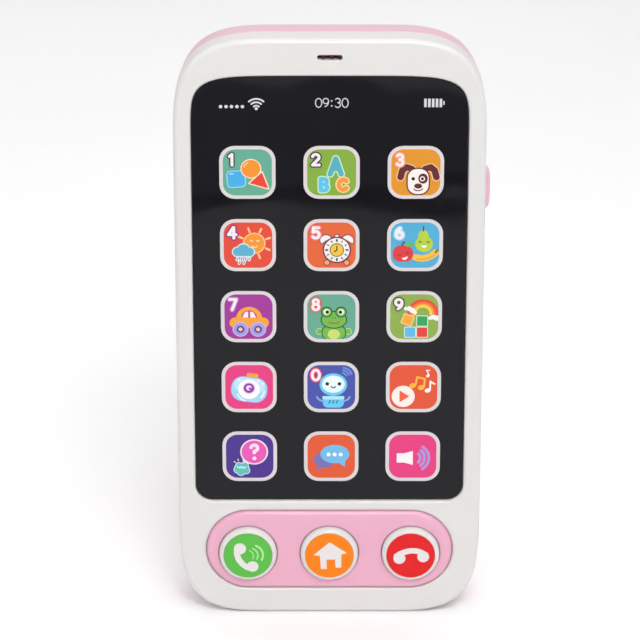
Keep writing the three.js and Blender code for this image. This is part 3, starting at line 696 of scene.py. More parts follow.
def battery_door():
    skin = Skin()
    inner = BACK - 1.5

    def plate(inset):
        return rounded_box(DOOR_LOW[0] + inset, DOOR_HIGH[0] - inset, DOOR_FOOT + inset,
                           DOOR_HIGH[2] - inset, DOOR_CORNER)

    outer = skin.rounded(plate, BACK, inner, 0.3, 4)
    head = skin.hole(0, DOOR_SCREW_Z, 2.8, BACK, 6.8, 0.3)
    shank = skin.tube(ring(0, DOOR_SCREW_Z, 1.5), 6.8, 5.5)
    boss = skin.tube(ring(0, DOOR_SCREW_Z, 4.0), inner, 5.5)
    skin.cap(outer[0], head[0])
    skin.cap(head[-1], shank[0])
    skin.cap(shank[-1], boss[-1])
    skin.cap(outer[-1], boss[0])
    for x in (-TAB_X, TAB_X):
        skin.plug(rounded_box(x - 2, x + 2, 31.5, TAB_TOP, 0.3, 2), 6.5, inner + 0.3)
        skin.plug(rounded_box(x - 2, x + 2, 29.4, TAB_TOP, 0.3, 2), 6.4, LEDGE - GAP)
    # A fan of grip bars across the lower end, shorter towards the middle.
    for k in range(5):
        z = 38.5 + 1.9 * k
        half = 8.5 - 1.1 * k
        foot, top = [rounded_box(-half + inset, half - inset, z - 0.45 + inset, z + 0.45 - inset, 0.3)
                     for inset in (0.0, 0.22)]
        loops = skin.loft([skin.loop(foot, BACK - 0.3), skin.loop(foot, BACK + 0.12),
                           skin.loop(top, BACK + 0.3)])
        skin.cap(loops[0])
        skin.cap(loops[-1])
    finish_mesh(skin.bm, "pink_battery_door", PINK, "door", ["battery_door"])


def screw_piece(name, node, body, x, z, head_y, tip_y, head_r, shank_r):
    """A cross-headed self-tapping screw facing +Y, with a real thread."""
    bm = bmesh.new()
    seat = head_y - 1.8
    dome = sweep(head_r - 0.7, head_y - 0.9, 0.7, 0, 70, 6)
    profile = [(0.0, tip_y), (shank_r * 0.5, tip_y + 0.4)]
    pitch = 0.9
    y = tip_y + 0.8
    while y + pitch < seat - 0.3:
        profile += [(shank_r * 0.78, y), (shank_r, y + pitch * 0.5)]
        y += pitch
    profile += [(shank_r * 0.85, seat), (head_r, seat), *dome, (head_r * 0.35, head_y),
                (0.0, head_y)]
    turned(bm, x, z, profile, 40)
    obj = finish_mesh(bm, name, STEEL, body, [node], 30)
    recess = Skin()
    reach = head_r * 0.6
    for w, h in ((reach, 0.3), (0.3, reach)):
        top = rounded_box(x - w, x + w, z - h, z + h, 0.08, 2)
        low = rounded_box(x - w * 0.8, x + w * 0.8, z - h * 0.8, z + h * 0.8, 0.06, 2)
        solid(recess.bm, [recess.loop(top, head_y + 0.5), recess.loop(low, head_y - 0.9)])
    cut(obj, recess.bm, use_self=True)


# ------------------------------------------------------------------ keypad

def keypad_frame():
    skin = Skin()
    outer = skin.rounded(lambda inset: pad_outline(0.02 + inset), PAD_FACE, PAD_BACK, PAD_ROUND, 9)
    holes = [skin.hole(x, BUTTON_Z, BUTTON_HOLE, PAD_FACE, PAD_BACK, 0.3, 64) for x in BUTTON_X]
    skin.cap(outer[0], *[h[0] for h in holes])
    flange = skin.tube(pad_outline(-0.45), PAD_BACK, PAD_BACK + 0.3)
    skin.cap(outer[-1], flange[0])
    seats = [skin.loop(ring(x, BUTTON_Z, BUTTON_HOLE, 64), PAD_BACK + 0.3) for x in BUTTON_X]
    for hole_loops, seat in zip(holes, seats):
        skin.loft([hole_loops[-1], seat])
    skin.cap(flange[-1], *seats)
    for x in (-10.1, 10.1):
        skin.plug(ring(x, 8.9, 2.2), PAD_BACK + 0.2, -2.6)
    finish_mesh(skin.bm, "pink_keypad_oval", PAD_PINK, "root", ["keypad_frame"])


def button(name, x):
    """A soft-edged white cap with its coloured disc let in flush."""
    low, high = box_mm(f"{name}_button")
    disc_low, disc_high = box_mm(f"{name}_disc")
    rim, base, face = low[1], high[1], disc_low[1]
    disc_radius = (disc_high[0] - disc_low[0]) / 2
    pocket = disc_radius + 0.03
    body = f"{name}_key"
    width = BUTTON_RADIUS - pocket - 0.08
    shoulder = []
    for i in range(11):
        a = math.pi / 2 * i / 10
        shoulder.append((BUTTON_RADIUS - width * (1 - math.cos(a)),
                         rim + CAP_ROUND * (1 - math.sin(a))))
    inner, outer, well = CAP_WELL
    profile = [(0.0, base), (inner, base), (inner, well), (outer, well), (outer, base),
               (FLANGE_RADIUS, base), (FLANGE_RADIUS, FLANGE_FRONT), (BUTTON_RADIUS, FLANGE_FRONT),
               *shoulder,
               (pocket, rim + 0.08), (pocket, disc_high[1] + 0.05), (0.0, disc_high[1] + 0.05)]
    bm = bmesh.new()
    turned(bm, x, BUTTON_Z, profile, 96)
    finish_mesh(bm, f"{name}_cap_white", CAP_WHITE, body, [f"{name}_button"])
    bm = bmesh.new()
    edge = sweep(disc_radius - 0.2, face + 0.2, 0.2, 0, -90, 5)
    section = [(0.0, disc_high[1]), (disc_radius, disc_high[1]), *edge, (0.0, face)]
    turned(bm, x, BUTTON_Z, section, 96)
    finish_mesh(bm, f"{name}_disc_print", DISCS[name], body, [f"{name}_disc"])


def contact_mat():
    """The silicone sheet under the buttons, with a dome for each."""
    low, high = box_mm("contact_rubber")
    crown, back = low[1], high[1]
    sheet = crown + DOME_HEIGHT
    skin = Skin()
    outer = skin.tube(rounded_box(low[0], high[0], low[2], high[2], 0.6), sheet, back)
    holes = [skin.tube(ring(x, BUTTON_Z, 4.6), sheet, back) for x in BUTTON_X]
    skin.cap(outer[0], *[h[0] for h in holes])
    skin.cap(outer[-1], *[h[-1] for h in holes])
    look = SLOT_LOOKS["silicone"]
    finish_mesh(skin.bm, "silicone_contact_sheet", look, "root", ["contact_rubber"])
    for name, x in zip(KEYS, BUTTON_X):
        bm = bmesh.new()
        profile = [(0.0, crown), (3.0, crown), (3.3, crown + 0.1), (5.2, sheet - 0.15),
                   (5.4, sheet - 0.05), (4.7, sheet - 0.05), (2.6, crown + 0.6), (0.0, crown + 0.6)]
        turned(bm, x, BUTTON_Z, profile, 48)
        dome = finish_mesh(bm, f"silicone_dome_{name}", look, "root", ["contact_rubber"])
        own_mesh(dome)


# ------------------------------------------------------------------ printed art

WHITE_INK = (226, 220, 220)
BORDER = (213, 206, 207)


def circle(u, v, r, steps=40):
    return ring(u, v, r, steps)


def turn(points, degrees, u=0.0, v=0.0):
    """Turns points about (u, v)."""
    c, s = math.cos(math.radians(degrees)), math.sin(math.radians(degrees))
    return [(u + (x - u) * c - (y - v) * s, v + (x - u) * s + (y - v) * c) for x, y in points]


def ellipse(u, v, a, b, degrees=0.0, steps=40):
    points = [(u + a * x, v + b * y) for x, y in circle(0, 0, 1, steps)]
    return turn(points, degrees, u, v)


def soft_box(u, v, width, height, r, degrees=0.0):
    box = rounded_box(u - width / 2, u + width / 2, v - height / 2, v + height / 2, r)
    return turn(box, degrees, u, v)


def distances(px, pz, path):
    """How far each point of a grid is from a path of points."""
    best = np.full(px.shape, 1e9)
    for (x0, z0), (x1, z1) in zip(path, path[1:]):
        dx, dz = x1 - x0, z1 - z0
        share = ((px - x0) * dx + (pz - z0) * dz) / max(dx * dx + dz * dz, 1e-12)
        share = np.clip(share, 0.0, 1.0)
        best = np.minimum(best, np.hypot(px - x0 - share * dx, pz - z0 - share * dz))
    return best


def signed_distances(px, pz, outline):
    """Distances to a closed outline, negative inside it."""
    inside = np.zeros(px.shape, dtype=bool)
    closed = list(outline) + [outline[0]]
    for (x0, z0), (x1, z1) in zip(closed, closed[1:]):
        if z0 == z1:
            continue
        crosses = (pz < z0) != (pz < z1)
        inside ^= crosses & (px < x0 + (pz - z0) * (x1 - x0) / (z1 - z0))
    away = distances(px, pz, closed)
    return np.where(inside, -away, away)


def contours(outlines, paths, half, amount=0.0, limit=None, step=0.07):
    """Closed loops round the union of filled outlines and pen lines, grown by an amount.

    A limit is an outline that cuts off whatever reaches past it.
    """
    everything = [p for points in list(outlines) + list(paths) for p in points]
    margin = half + max(amount, 0.0) + 3 * step
    low_x = min(p[0] for p in everything) - margin
    low_z = min(p[1] for p in everything) - margin
    count_x = int((max(p[0] for p in everything) + margin - low_x) / step) + 2
    count_z = int((max(p[1] for p in everything) + margin - low_z) / step) + 2
    px, pz = np.meshgrid(low_x + step * np.arange(count_x), low_z + step * np.arange(count_z),
                         indexing="ij")
    value = np.full(px.shape, 1e9)
    for outline in outlines:
        value = np.minimum(value, signed_distances(px, pz, outline))
    for path in paths:
        value = np.minimum(value, distances(px, pz, path) - half)
    value = value - amount
    if limit:
        value = np.maximum(value, signed_distances(px, pz, limit))
    inside = value < 0
    mixed = inside[:-1, :-1].astype(int) + inside[1:, :-1] + inside[1:, 1:] + inside[:-1, 1:]
    links = {}
    for i, j in np.argwhere((mixed > 0) & (mixed < 4)):
        corners = [(i, j), (i + 1, j), (i + 1, j + 1), (i, j + 1)]
        leaving, entering = [], []
        for side in range(4):
            a, b = corners[side], corners[(side + 1) % 4]
            if inside[a] and not inside[b]:
                leaving.append((side, (a, b)))
            elif inside[b] and not inside[a]:
                entering.append((side, (b, a)))
        for side, start in leaving:
            links[start] = min(entering, key=lambda e: (e[0] - side) % 4)[1]
    loops = []
    while links:
        key = next(iter(links))
        loop = []
        while key in links:
            (ai, aj), (bi, bj) = key
            t = value[ai, aj] / (value[ai, aj] - value[bi, bj])
            loop.append((low_x + step * (ai + t * (bi - ai)), low_z + step * (aj + t * (bj - aj))))
            key = links.pop(key)
        loops.append(thinned(loop))
    return [loop for loop in loops if len(loop) > 3]


def thinned(loop, turn_limit=0.12, length_limit=0.7):
    """Drops points along straight runs of a loop."""
    kept = [loop[0]]
    heading = None
    for here, after in zip(loop[1:], loop[2:] + loop[:1]):
        angle = math.atan2(after[1] - here[1], after[0] - here[0])
        if heading is None:
            heading = math.atan2(here[1] - kept[-1][1], here[0] - kept[-1][0])
        bend = abs((angle - heading + math.pi) % (2 * math.pi) - math.pi)
        if bend > turn_limit or math.dist(here, kept[-1]) > length_limit:
            kept.append(here)
            heading = angle
    return kept


class Print:
    """Ink shapes laid one over another on a flat face, each a thin closed layer."""

    LIFT = 0.008  # how much each layer stands proud of the one before

    def __init__(self, name, x, z, face, body):
        self.name, self.x, self.z, self.face, self.body = name, x, z, face, body
        self.bm = bmesh.new()
        self.looks = []
        self.level = 0
        self.limit = None

    def layer(self, loops, rgb):
        """One closed layer of ink whose face is bounded by loops, holes among them."""
        look = ink(rgb)
        if look not in self.looks:
            self.looks.append(look)
        self.level += 1
        before = set(self.bm.faces)
        depths = (self.face, self.face - self.LIFT * self.level)
        rims = ([], [])
        for loop in loops:
            ends = [[self.bm.verts.new(((self.x + u) * MM, y * MM, (self.z + v) * MM))
                     for u, v in loop] for y in depths]
            for rim, verts in zip(rims, bands(self.bm, ends)):
                rim.append(verts)
        for rim in rims:
            if len(rim) == 1:
                flat = self.bm.faces.new(rim[0])
                flat.normal_update()
                bmesh.ops.triangulate(self.bm, faces=[flat], ngon_method="EAR_CLIP")
                continue
            edges = [self.bm.edges.get((verts[i - 1], verts[i])) for verts in rim
                     for i in range(len(verts))]
            bmesh.ops.triangle_fill(self.bm, use_beauty=False, edges=edges, normal=(0, -1, 0))
        for face in set(self.bm.faces) - before:
            face.material_index = self.looks.index(look)

    def shape(self, points, rgb):
        if self.limit:
            self.layer(contours([points], [], 0.0, 0.0, self.limit), rgb)
        else:
            self.layer([points], rgb)

    def lines(self, paths, width, rgb):
        self.layer(contours([], paths, width / 2, 0.0, self.limit), rgb)

    def merged(self, outlines, paths, width, rgb, edge=None, amount=0.3):
        """Outlines and pen lines as one shape, with an edge of another colour round it."""
        if edge:
            self.layer(contours(outlines, paths, width / 2, amount, self.limit), edge)
        self.layer(contours(outlines, paths, width / 2, 0.0, self.limit), rgb)

    def outlined(self, points, rgb, edge, amount=0.3):
        self.merged([points], [], 0.0, rgb, edge, amount)

    def done(self):
        finish_mesh(self.bm, self.name, self.looks, self.body, [], 20)


def line(*points):
    """A straight or bent path with enough points for a pen."""
    path = []
    for (x0, y0), (x1, y1) in zip(points, points[1:]):
        path += [(x0 + (x1 - x0) * k / 4, y0 + (y1 - y0) * k / 4) for k in range(4)]
    return path + [points[-1]]


GLYPHS = {
    "0": [sweep(0, 0, 0.27, 90, 450, 32, 1.5)],
    "1": [line((-0.14, 0.26), (0.04, 0.42)), line((0.04, 0.42), (0.04, -0.42))],
    "2": [sweep(0, 0.18, 0.24, 165, -25, 16) + [(-0.24, -0.4)], line((-0.24, -0.41), (0.26, -0.41))],
    "3": [sweep(-0.02, 0.2, 0.21, 150, -85, 16), sweep(-0.02, -0.19, 0.23, 85, -150, 16)],
    "4": [line((0.08, 0.42), (-0.27, -0.14)), line((-0.27, -0.14), (0.28, -0.14)),
          line((0.12, 0.42), (0.12, -0.42))],
    "5": [line((0.22, 0.41), (-0.17, 0.41)), line((-0.17, 0.41), (-0.2, 0.06)),
          sweep(-0.01, -0.14, 0.26, 130, -145, 18)],
    "6": [sweep(0, -0.17, 0.24, 90, 450, 26), sweep(0.24, -0.1, 0.48, 180, 112, 12)],
    "7": [line((-0.24, 0.41), (0.25, 0.41)), line((0.25, 0.41), (-0.06, -0.42))],
    "8": [sweep(0, 0.22, 0.19, 90, 450, 24), sweep(0, -0.19, 0.23, 90, 450, 26)],
    "9": [sweep(0, 0.17, 0.24, 90, 450, 26), sweep(-0.24, 0.1, 0.48, 0, -68, 12)],
    "A": [line((-0.27, -0.4), (0, 0.4)), line((0, 0.4), (0.27, -0.4)),
          line((-0.15, -0.12), (0.15, -0.12))],
    "B": [line((-0.22, 0.4), (-0.22, -0.4)), sweep(-0.02, 0.2, 0.2, 90, -90, 12),
          sweep(0.0, -0.2, 0.21, 90, -90, 12), line((-0.22, 0.4), (-0.02, 0.4)),
          line((-0.22, 0.0), (0.0, 0.0)), line((-0.22, -0.41), (0.0, -0.41))],
    "C": [sweep(0.03, 0, 0.31, 45, 315, 22, 1.2)],
    "?": [sweep(0, 0.2, 0.22, 170, -50, 16) + [(0.0, -0.04), (0.0, -0.14)]],
}


def glyph(art, key, u, v, height, pen, rgb, edge=None, margin=0.34):
    """A rounded figure or letter with a coloured outline."""
    paths = [[(u + x * height, v + y * height) for x, y in path] for path in GLYPHS[key]]
    art.merged([], paths, pen, rgb, edge, margin)


def tile(art, rgb):
    """A rounded square with a pale border."""
    face = soft_box(0, 0, 11.75, 11.75, 2.9)
    art.shape(soft_box(0, 0, 13.5, 13.5, 3.7), BORDER)
    art.shape(face, rgb)
    art.limit = face


def spokes(u, v, inner, outer, angles):
    """A short line out from a centre at each angle in degrees."""
    paths = []
    for a in map(math.radians, angles):
        paths.append(line((u + inner * math.cos(a), v + inner * math.sin(a)),
                          (u + outer * math.cos(a), v + outer * math.sin(a))))
    return paths


def draw_shapes(art):
    cream = (244, 222, 190)
    art.outlined(soft_box(-2.7, -1.7, 4.1, 3.9, 0.8, 4), (72, 168, 222), (150, 210, 235), 0.25)
    art.outlined(circle(0.85, 0.95, 2.25), (236, 144, 48), cream, 0.25)
    corner = [(3.5, 0.05), (5.0, -4.1), (0.5, -2.75)]
    art.outlined(corner, (226, 70, 56), cream, 0.28)
    art.lines([sweep(0.85, 0.95, 1.7, 165, 115, 8)], 0.28, (250, 200, 140))
    art.lines([line((-4.2, -0.4), (-3.4, -0.35))], 0.3, (170, 220, 240))


def draw_letters(art):
    pale = (190, 226, 190)
    glyph(art, "A", 1.0, 1.55, 4.9, 1.25, (82, 168, 184), pale, 0.3)
    glyph(art, "B", -1.8, -3.1, 3.6, 1.0, (92, 186, 224), pale, 0.3)
    glyph(art, "C", 2.7, -3.1, 3.4, 1.1, (234, 148, 62), (246, 206, 150), 0.3)


def draw_dog(art):
    dark, white = (98, 44, 48), (240, 232, 228)
    for s in (-1, 1):
        ear = [(0.65 + s * x, y) for x, y in ((1.6, 0.9), (2.9, 1.35), (3.9, 0.5), (4.3, -1.2))]
        art.merged([], [ear], 1.6, dark, (240, 196, 150), 0.22)
    art.outlined(soft_box(0.6, -2.3, 5.0, 6.4, 2.2), white, dark, 0.32)
    art.shape(ellipse(1.75, -1.55, 1.15, 1.3), dark)
    art.shape(circle(1.6, -1.6, 0.62), white)
    art.shape(circle(1.6, -1.6, 0.36), (40, 24, 26))
    art.shape(circle(-0.6, -1.6, 0.42), (40, 24, 26))
    art.shape(ellipse(0.6, -3.45, 0.95, 0.65), dark)
    art.lines([sweep(0.6, -3.6, 1.3, 215, 325, 12, 0.8)], 0.24, dark)


def draw_weather(art):
    sun, pale = (240, 146, 52), (246, 196, 140)
    for ray in spokes(1.5, 0.5, 3.1, 4.1, range(20, 380, 45)):
        art.lines([ray], 0.5, pale)
    art.outlined(circle(1.5, 0.5, 2.45), sun, pale, 0.28)
    for u in (0.8, 2.4):
        art.lines([sweep(u, 0.9, 0.35, 20, 160, 8)], 0.22, (250, 226, 200))
    art.lines([sweep(1.6, 0.2, 0.7, 210, 330, 10)], 0.22, (250, 226, 200))
    cloud = [circle(-2.6, -1.7, 1.05), circle(-1.1, -1.2, 1.45), circle(0.4, -1.7, 1.05),
             soft_box(-1.1, -2.05, 4.6, 1.4, 0.6)]
    art.merged(cloud, [], 0.0, (92, 168, 196), (190, 226, 236), 0.28)
    drops = [[(u, v), (u - 0.15, v - 0.5)] for u, v in
             ((-2.5, -3.3), (-1.5, -3.3), (-0.5, -3.3), (0.4, -3.3), (-2.0, -4.2), (-0.9, -4.2))]
    art.merged([], drops, 0.34, (92, 168, 196), (240, 226, 228), 0.2)


def draw_clock(art):
    dark, white = (84, 48, 96), (238, 230, 226)
    for s in (-1, 1):
        u = 1.3 + s * 2.6
        art.outlined(turn(sweep(u, 1.2, 1.4, 0, 180, 16), -s * 32, u, 1.2), white, dark, 0.2)
        art.outlined(circle(1.3 + s * 2.4, -4.5, 0.6), (240, 160, 90), dark, 0.2)
    art.outlined(circle(1.3, 2.3, 0.42), white, dark, 0.2)
    art.outlined(circle(1.3, -1.2, 3.1), white, dark, 0.32)
    for k, mark in enumerate(spokes(1.3, -1.2, 2.3, 2.65, range(0, 360, 30))):
        art.lines([mark], 0.26 if k % 3 else 0.42, (44, 36, 48))
    art.outlined(circle(1.3, -1.2, 1.55), (232, 190, 70), (90, 60, 40), 0.18)
    art.lines([line((1.3, -1.2), (1.3, -0.15)), line((1.3, -1.2), (0.7, -1.6))], 0.28, (44, 36, 48))


def draw_fruit(art):
    art.lines([sweep(1.6, 1.2, 4.6, -108, -42, 16)], 1.7, (238, 186, 66))
    art.lines([sweep(1.6, 1.2, 4.9, -104, -48, 14)], 0.25, (206, 150, 60))
    art.lines([line((5.0, -1.9), (5.5, -1.2))], 0.45, (120, 96, 50))
    pear = (178, 202, 66)
    art.shape(ellipse(2.2, 0.3, 2.15, 2.1), pear)
    art.shape(ellipse(2.0, 2.2, 1.3, 1.7), pear)
    art.lines([line((2.0, 3.7), (2.0, 4.8))], 0.3, (80, 84, 40))
    apple = (214, 62, 66)
    art.shape(ellipse(-3.5, -2.2, 1.9, 2.1), apple)
    art.shape(ellipse(-2.3, -2.2, 1.9, 2.1), apple)
    art.lines([sweep(-2.2, 0.0, 0.9, 190, 110, 8)], 0.3, (90, 50, 40))
    art.shape(ellipse(-1.2, 0.15, 1.2, 0.5, 12), (108, 176, 76))
    smile = sweep(0, 0, 0.75, 190, 350, 12)
    for u, v, tilt in ((2.2, 0.1, 0), (-2.5, -3.0, 18)):
        art.shape(turn([(u + x, v + y) for x, y in smile], tilt, u, v), (246, 240, 236))
        for s in (-1, 1):
            art.lines([turn(sweep(u + s * 1.0, v + 0.6, 0.28, 10, 170, 6), tilt, u, v)], 0.18,
                      (90, 60, 50))


def draw_car(art):
    body, glass = (240, 160, 52), (250, 228, 226)
    art.shape(sweep(0.15, -0.6, 3.2, 0, 180, 24), body)
    art.shape(soft_box(0.15, -1.6, 9.6, 2.8, 1.35), body)
    art.shape(sweep(0.15, -0.2, 1.9, 0, 180, 20), (176, 74, 160))
    for s in (-1, 1):
        window = [(0.15 + s * 0.25, -0.2), (0.15 + s * 0.25, 1.4), (0.15 + s * 1.1, 1.1),
                  (0.15 + s * 1.65, -0.2)]
        art.shape(window if s < 0 else window[::-1], glass)
        wheel = 0.15 + s * 2.15
        art.outlined(circle(wheel, -3.3, 1.75), (160, 152, 220), (196, 180, 236), 0.2)
        art.shape(circle(wheel, -3.3, 0.95), (92, 66, 120))
        art.shape(circle(wheel, -3.3, 0.5), (236, 190, 180))


def draw_frog(art):
    skin, edge = (112, 180, 76), (40, 66, 48)
    for s in (-1, 1):
        art.outlined(circle(0.6 + s * 3.5, -3.9, 0.7), skin, (170, 214, 150), 0.2)
    art.outlined(soft_box(0.6, -4.2, 5.6, 3.6, 1.7), skin, edge, 0.22)
    art.shape(ellipse(0.6, -4.6, 1.5, 1.3), (196, 214, 110))
    art.outlined(ellipse(0.6, -0.8, 3.0, 2.1), skin, edge, 0.24)
    for s in (-1, 1):
        art.outlined(circle(0.6 + s * 1.75, 1.25, 1.15), skin, edge, 0.24)
        art.shape(circle(0.6 + s * 1.75, 1.3, 0.75), (232, 240, 220))
        art.shape(circle(0.6 + s * 1.6, 1.25, 0.45), (34, 44, 36))
        art.shape(circle(0.6 + s * 0.35, -0.25, 0.14), edge)
    art.lines([sweep(0.6, -0.6, 1.7, 215, 325, 14, 0.7)], 0.26, (200, 80, 60))


def draw_rainbow(art):
    for radius, rgb in ((3.5, (222, 72, 58)), (2.95, (232, 104, 52)), (2.4, (238, 156, 58)),
                        (1.95, (238, 200, 84))):
        art.lines([sweep(2.1, 0.8, radius, -6, 186, 28)], 0.62, rgb)
    for u, v, tilt in ((-0.9, 1.75, -24), (5.1, -0.4, -8)):
        puffs = [circle(u + du, v + dv, r, 20) for du, dv, r in
                 ((-1.2, -0.1, 0.5), (-0.4, 0.25, 0.65), (0.4, 0.1, 0.7), (1.2, -0.1, 0.5))]
        art.merged([turn(puff, tilt, u, v) for puff in puffs], [], 0.0, (238, 236, 234))
    art.outlined(soft_box(-1.6, -0.8, 2.5, 2.5, 0.2, -20), (238, 164, 60), (246, 220, 180), 0.16)
    for u, v, rgb in ((1.95, -1.1, (52, 160, 92)), (-1.0, -4.05, (92, 180, 222)),
                      (1.95, -4.05, (222, 66, 60))):
        art.outlined(soft_box(u, v, 2.55, 2.55, 0.15), rgb, (232, 240, 226), 0.16)


def draw_camera(art):
    art.shape(soft_box(0.85, 3.15, 2.9, 1.0, 0.4, -8), (240, 160, 52))
    art.outlined(soft_box(0, -0.65, 8.7, 6.5, 2.8, -8), (160, 208, 232), (190, 120, 190), 0.2)
    art.shape(soft_box(0.1, 0.45, 7.6, 3.8, 1.9, -8), (186, 222, 238))
    art.lines([sweep(0.1, -0.6, 3.3, 205, 248, 12), sweep(0.3, -0.5, 3.5, 318, 350, 8)], 0.4,
              (222, 238, 246))
    for u, v in ((-2.4, 1.9), (2.2, 1.7), (3.3, 0.9)):
        art.shape(circle(u, v, 0.28, 16), (244, 236, 246))
    for u, v, radius, rgb in ((-0.05, -0.55, 2.65, (244, 240, 244)),
                              (-0.05, -0.25, 1.5, (214, 176, 220)),
                              (-0.05, -0.25, 1.25, (134, 44, 146)),
                              (-0.05, -0.2, 0.72, (236, 214, 240)),
                              (0.25, -0.4, 0.4, (166, 86, 178))):
        art.shape(circle(u, v, radius), rgb)


def draw_robot(art):
    blue, pale = (104, 196, 232), (170, 222, 240)
    for radius in (1.1, 1.8, 2.5):
        art.lines([sweep(2.6, 2.7, radius, 20, 80, 10)], 0.45, (110, 140, 214))
    for s in (-1, 1):
        art.lines([sweep(0.5 + s * 2.5, -2.1, 1.6, 270, 270 + s * 70, 10)], 0.5, (126, 160, 226))
    art.shape(soft_box(0.5, -4.0, 5.2, 3.0, 1.3), blue)
    art.shape(soft_box(0.5, -2.85, 5.4, 0.9, 0.3), pale)
    art.lines([line((u, -4.3), (u + 0.35, -3.6)) for u in (-0.6, 0.3, 1.2)], 0.26, (40, 80, 130))
    art.shape(ellipse(0.5, 0.7, 3.4, 3.0), blue)
    art.shape(ellipse(0.5, 0.8, 2.8, 2.3), (226, 240, 246))
    for s in (-1, 1):
        art.shape(circle(0.5 + s * 1.5, 0.9, 0.45), (28, 28, 40))
    art.lines([sweep(0.5, 0.4, 0.55, 200, 340, 10)], 0.26, (28, 28, 40))


def note(art, u, v, size, rgb, tilt=0.0):
    head = turn(ellipse(u, v, 0.75 * size, 0.6 * size, 20), tilt, u, v)
    stem = turn(line((u + 0.6 * size, v + 0.1 * size), (u + 0.6 * size, v + 2.6 * size)), tilt, u, v)
    flag = turn(line((u + 0.6 * size, v + 2.5 * size), (u + 1.7 * size, v + 1.9 * size)), tilt, u, v)
    art.shape(head, rgb)
    art.lines([stem, flag], 0.45 * size, rgb)


def draw_music(art):
    art.shape(circle(-2.5, -2.5, 2.85), (240, 230, 224))
    art.shape([(-3.4, -4.1), (-1.0, -2.5), (-3.4, -0.9)], (232, 96, 66))
    note(art, 3.5, -0.9, 0.95, (244, 238, 234), -2)
    note(art, 3.5, 3.0, 0.6, (244, 238, 234), 25)
    yellow = (240, 178, 60)
    art.shape(ellipse(-0.2, 0.4, 0.85, 0.65, 20), yellow)
    art.shape(ellipse(1.9, -0.1, 0.85, 0.65, 20), yellow)
    beams = [((0.5, 0.6), (0.9, 2.7)), ((2.6, 0.1), (2.8, 2.2)), ((0.9, 2.7), (2.8, 2.2))]
    art.lines([line(*beam) for beam in beams], 0.5, yellow)


def draw_question(art):
    pink = (226, 88, 180)
    art.shape([(-1.3, -0.3), (-2.2, -2.9), (0.6, -1.6)], WHITE_INK)
    art.outlined(circle(1.1, 1.2, 3.1), pink, WHITE_INK, 0.36)
    glyph(art, "?", 1.15, 1.5, 3.7, 0.85, (248, 214, 232))
    art.shape(circle(1.15, -0.55, 0.5), (248, 214, 232))
    lumps = [ellipse(-2.0, -3.2, 1.7, 1.25), circle(-3.1, -3.7, 0.75), circle(-2.2, -4.3, 0.85),
             circle(-0.9, -3.9, 0.8), circle(-1.2, -2.5, 0.75), circle(-2.7, -2.5, 0.7)]
    art.merged(lumps, [], 0.0, (98, 184, 184), (196, 228, 228), 0.2)
    art.lines([sweep(-2.0, -2.5, 1.3, 200, 330, 12, 0.5), sweep(-2.0, -3.6, 0.8, 20, 150, 10)], 0.24,
              (190, 230, 226))
    art.lines([line((-2.8, -1.2), (-2.95, -0.75)), line((-3.5, -1.7), (-3.9, -1.4)),
               line((-1.7, -1.1), (-1.6, -0.75))], 0.22, WHITE_INK)


def draw_chat(art):
    art.shape(ellipse(-1.6, -0.9, 2.7, 2.1), (116, 110, 176))
    art.shape([(-3.6, -1.8), (-3.4, -3.9), (-1.2, -2.6)], (116, 110, 176))
    art.shape(ellipse(0.9, 0.6, 3.6, 2.5), (112, 182, 226))
    art.shape([(1.4, -1.4), (3.4, -2.9), (3.6, -0.7)], (112, 182, 226))
    for k in (-1, 0, 1):
        art.shape(circle(0.85 + 1.5 * k, 0.5, 0.5), (240, 246, 250))


def draw_speaker(art):
    horn = [(-2.5, -1.6), (0.05, -2.35), (0.05, 1.45), (-2.5, 0.7)]
    art.merged([soft_box(-3.05, -0.45, 1.8, 2.5, 0.15), horn], [], 0.0, (246, 234, 236))
    for radius in (1.55, 2.6, 3.65):
        ends = 40 + 4 * radius
        wave = sweep(0.35, -0.45, radius, -ends, ends, 14)
        art.lines([wave], 0.82, (222, 110, 180))
        art.lines([wave], 0.6, (158, 150, 216))


ICONS = [  # from the top row down, left to right: tile colour, drawing, figure, figure's outline
    ((100, 166, 143), draw_shapes, "1", (52, 66, 60)),
    ((129, 167, 64), draw_letters, "2", (58, 30, 72)),
    ((219, 145, 43), draw_dog, "3", (240, 150, 110)),
    ((221, 76, 58), draw_weather, "4", (110, 60, 150)),
    ((221, 100, 57), draw_clock, "5", (236, 120, 130)),
    ((82, 168, 206), draw_fruit, "6", (150, 210, 240)),
    ((158, 56, 148), draw_car, "7", (186, 110, 196)),
    ((101, 164, 142), draw_frog, "8", (226, 84, 82)),
    ((138, 168, 78), draw_rainbow, "9", (62, 70, 52)),
    ((223, 62, 126), draw_camera, None, None),
    ((72, 82, 164), draw_robot, "0", (226, 66, 84)),
    ((220, 84, 55), draw_music, None, None),
    ((76, 50, 138), draw_question, None, None),
    ((219, 88, 52), draw_chat, None, None),
    ((224, 62, 126), draw_speaker, None, None),
]
MIDDLE_COLUMN = 0.45
COLUMN_PITCH = 20.2
TOP_ROW = 117.88
ROW_PITCH = 18.72


def printed_icons():
    for k, (rgb, draw, figure, edge) in enumerate(ICONS):
        row, column = divmod(k, 3)
        art = Print(f"icon_print_{k + 1:02d}", MIDDLE_COLUMN + COLUMN_PITCH * (column - 1),
                    TOP_ROW - ROW_PITCH * row, FILM_FACE, "root")
        tile(art, rgb)
        draw(art)
        if figure:
            glyph(art, figure, -3.8, 3.25, 3.3, 0.72, (238, 226, 230), edge, 0.3)
        art.done()


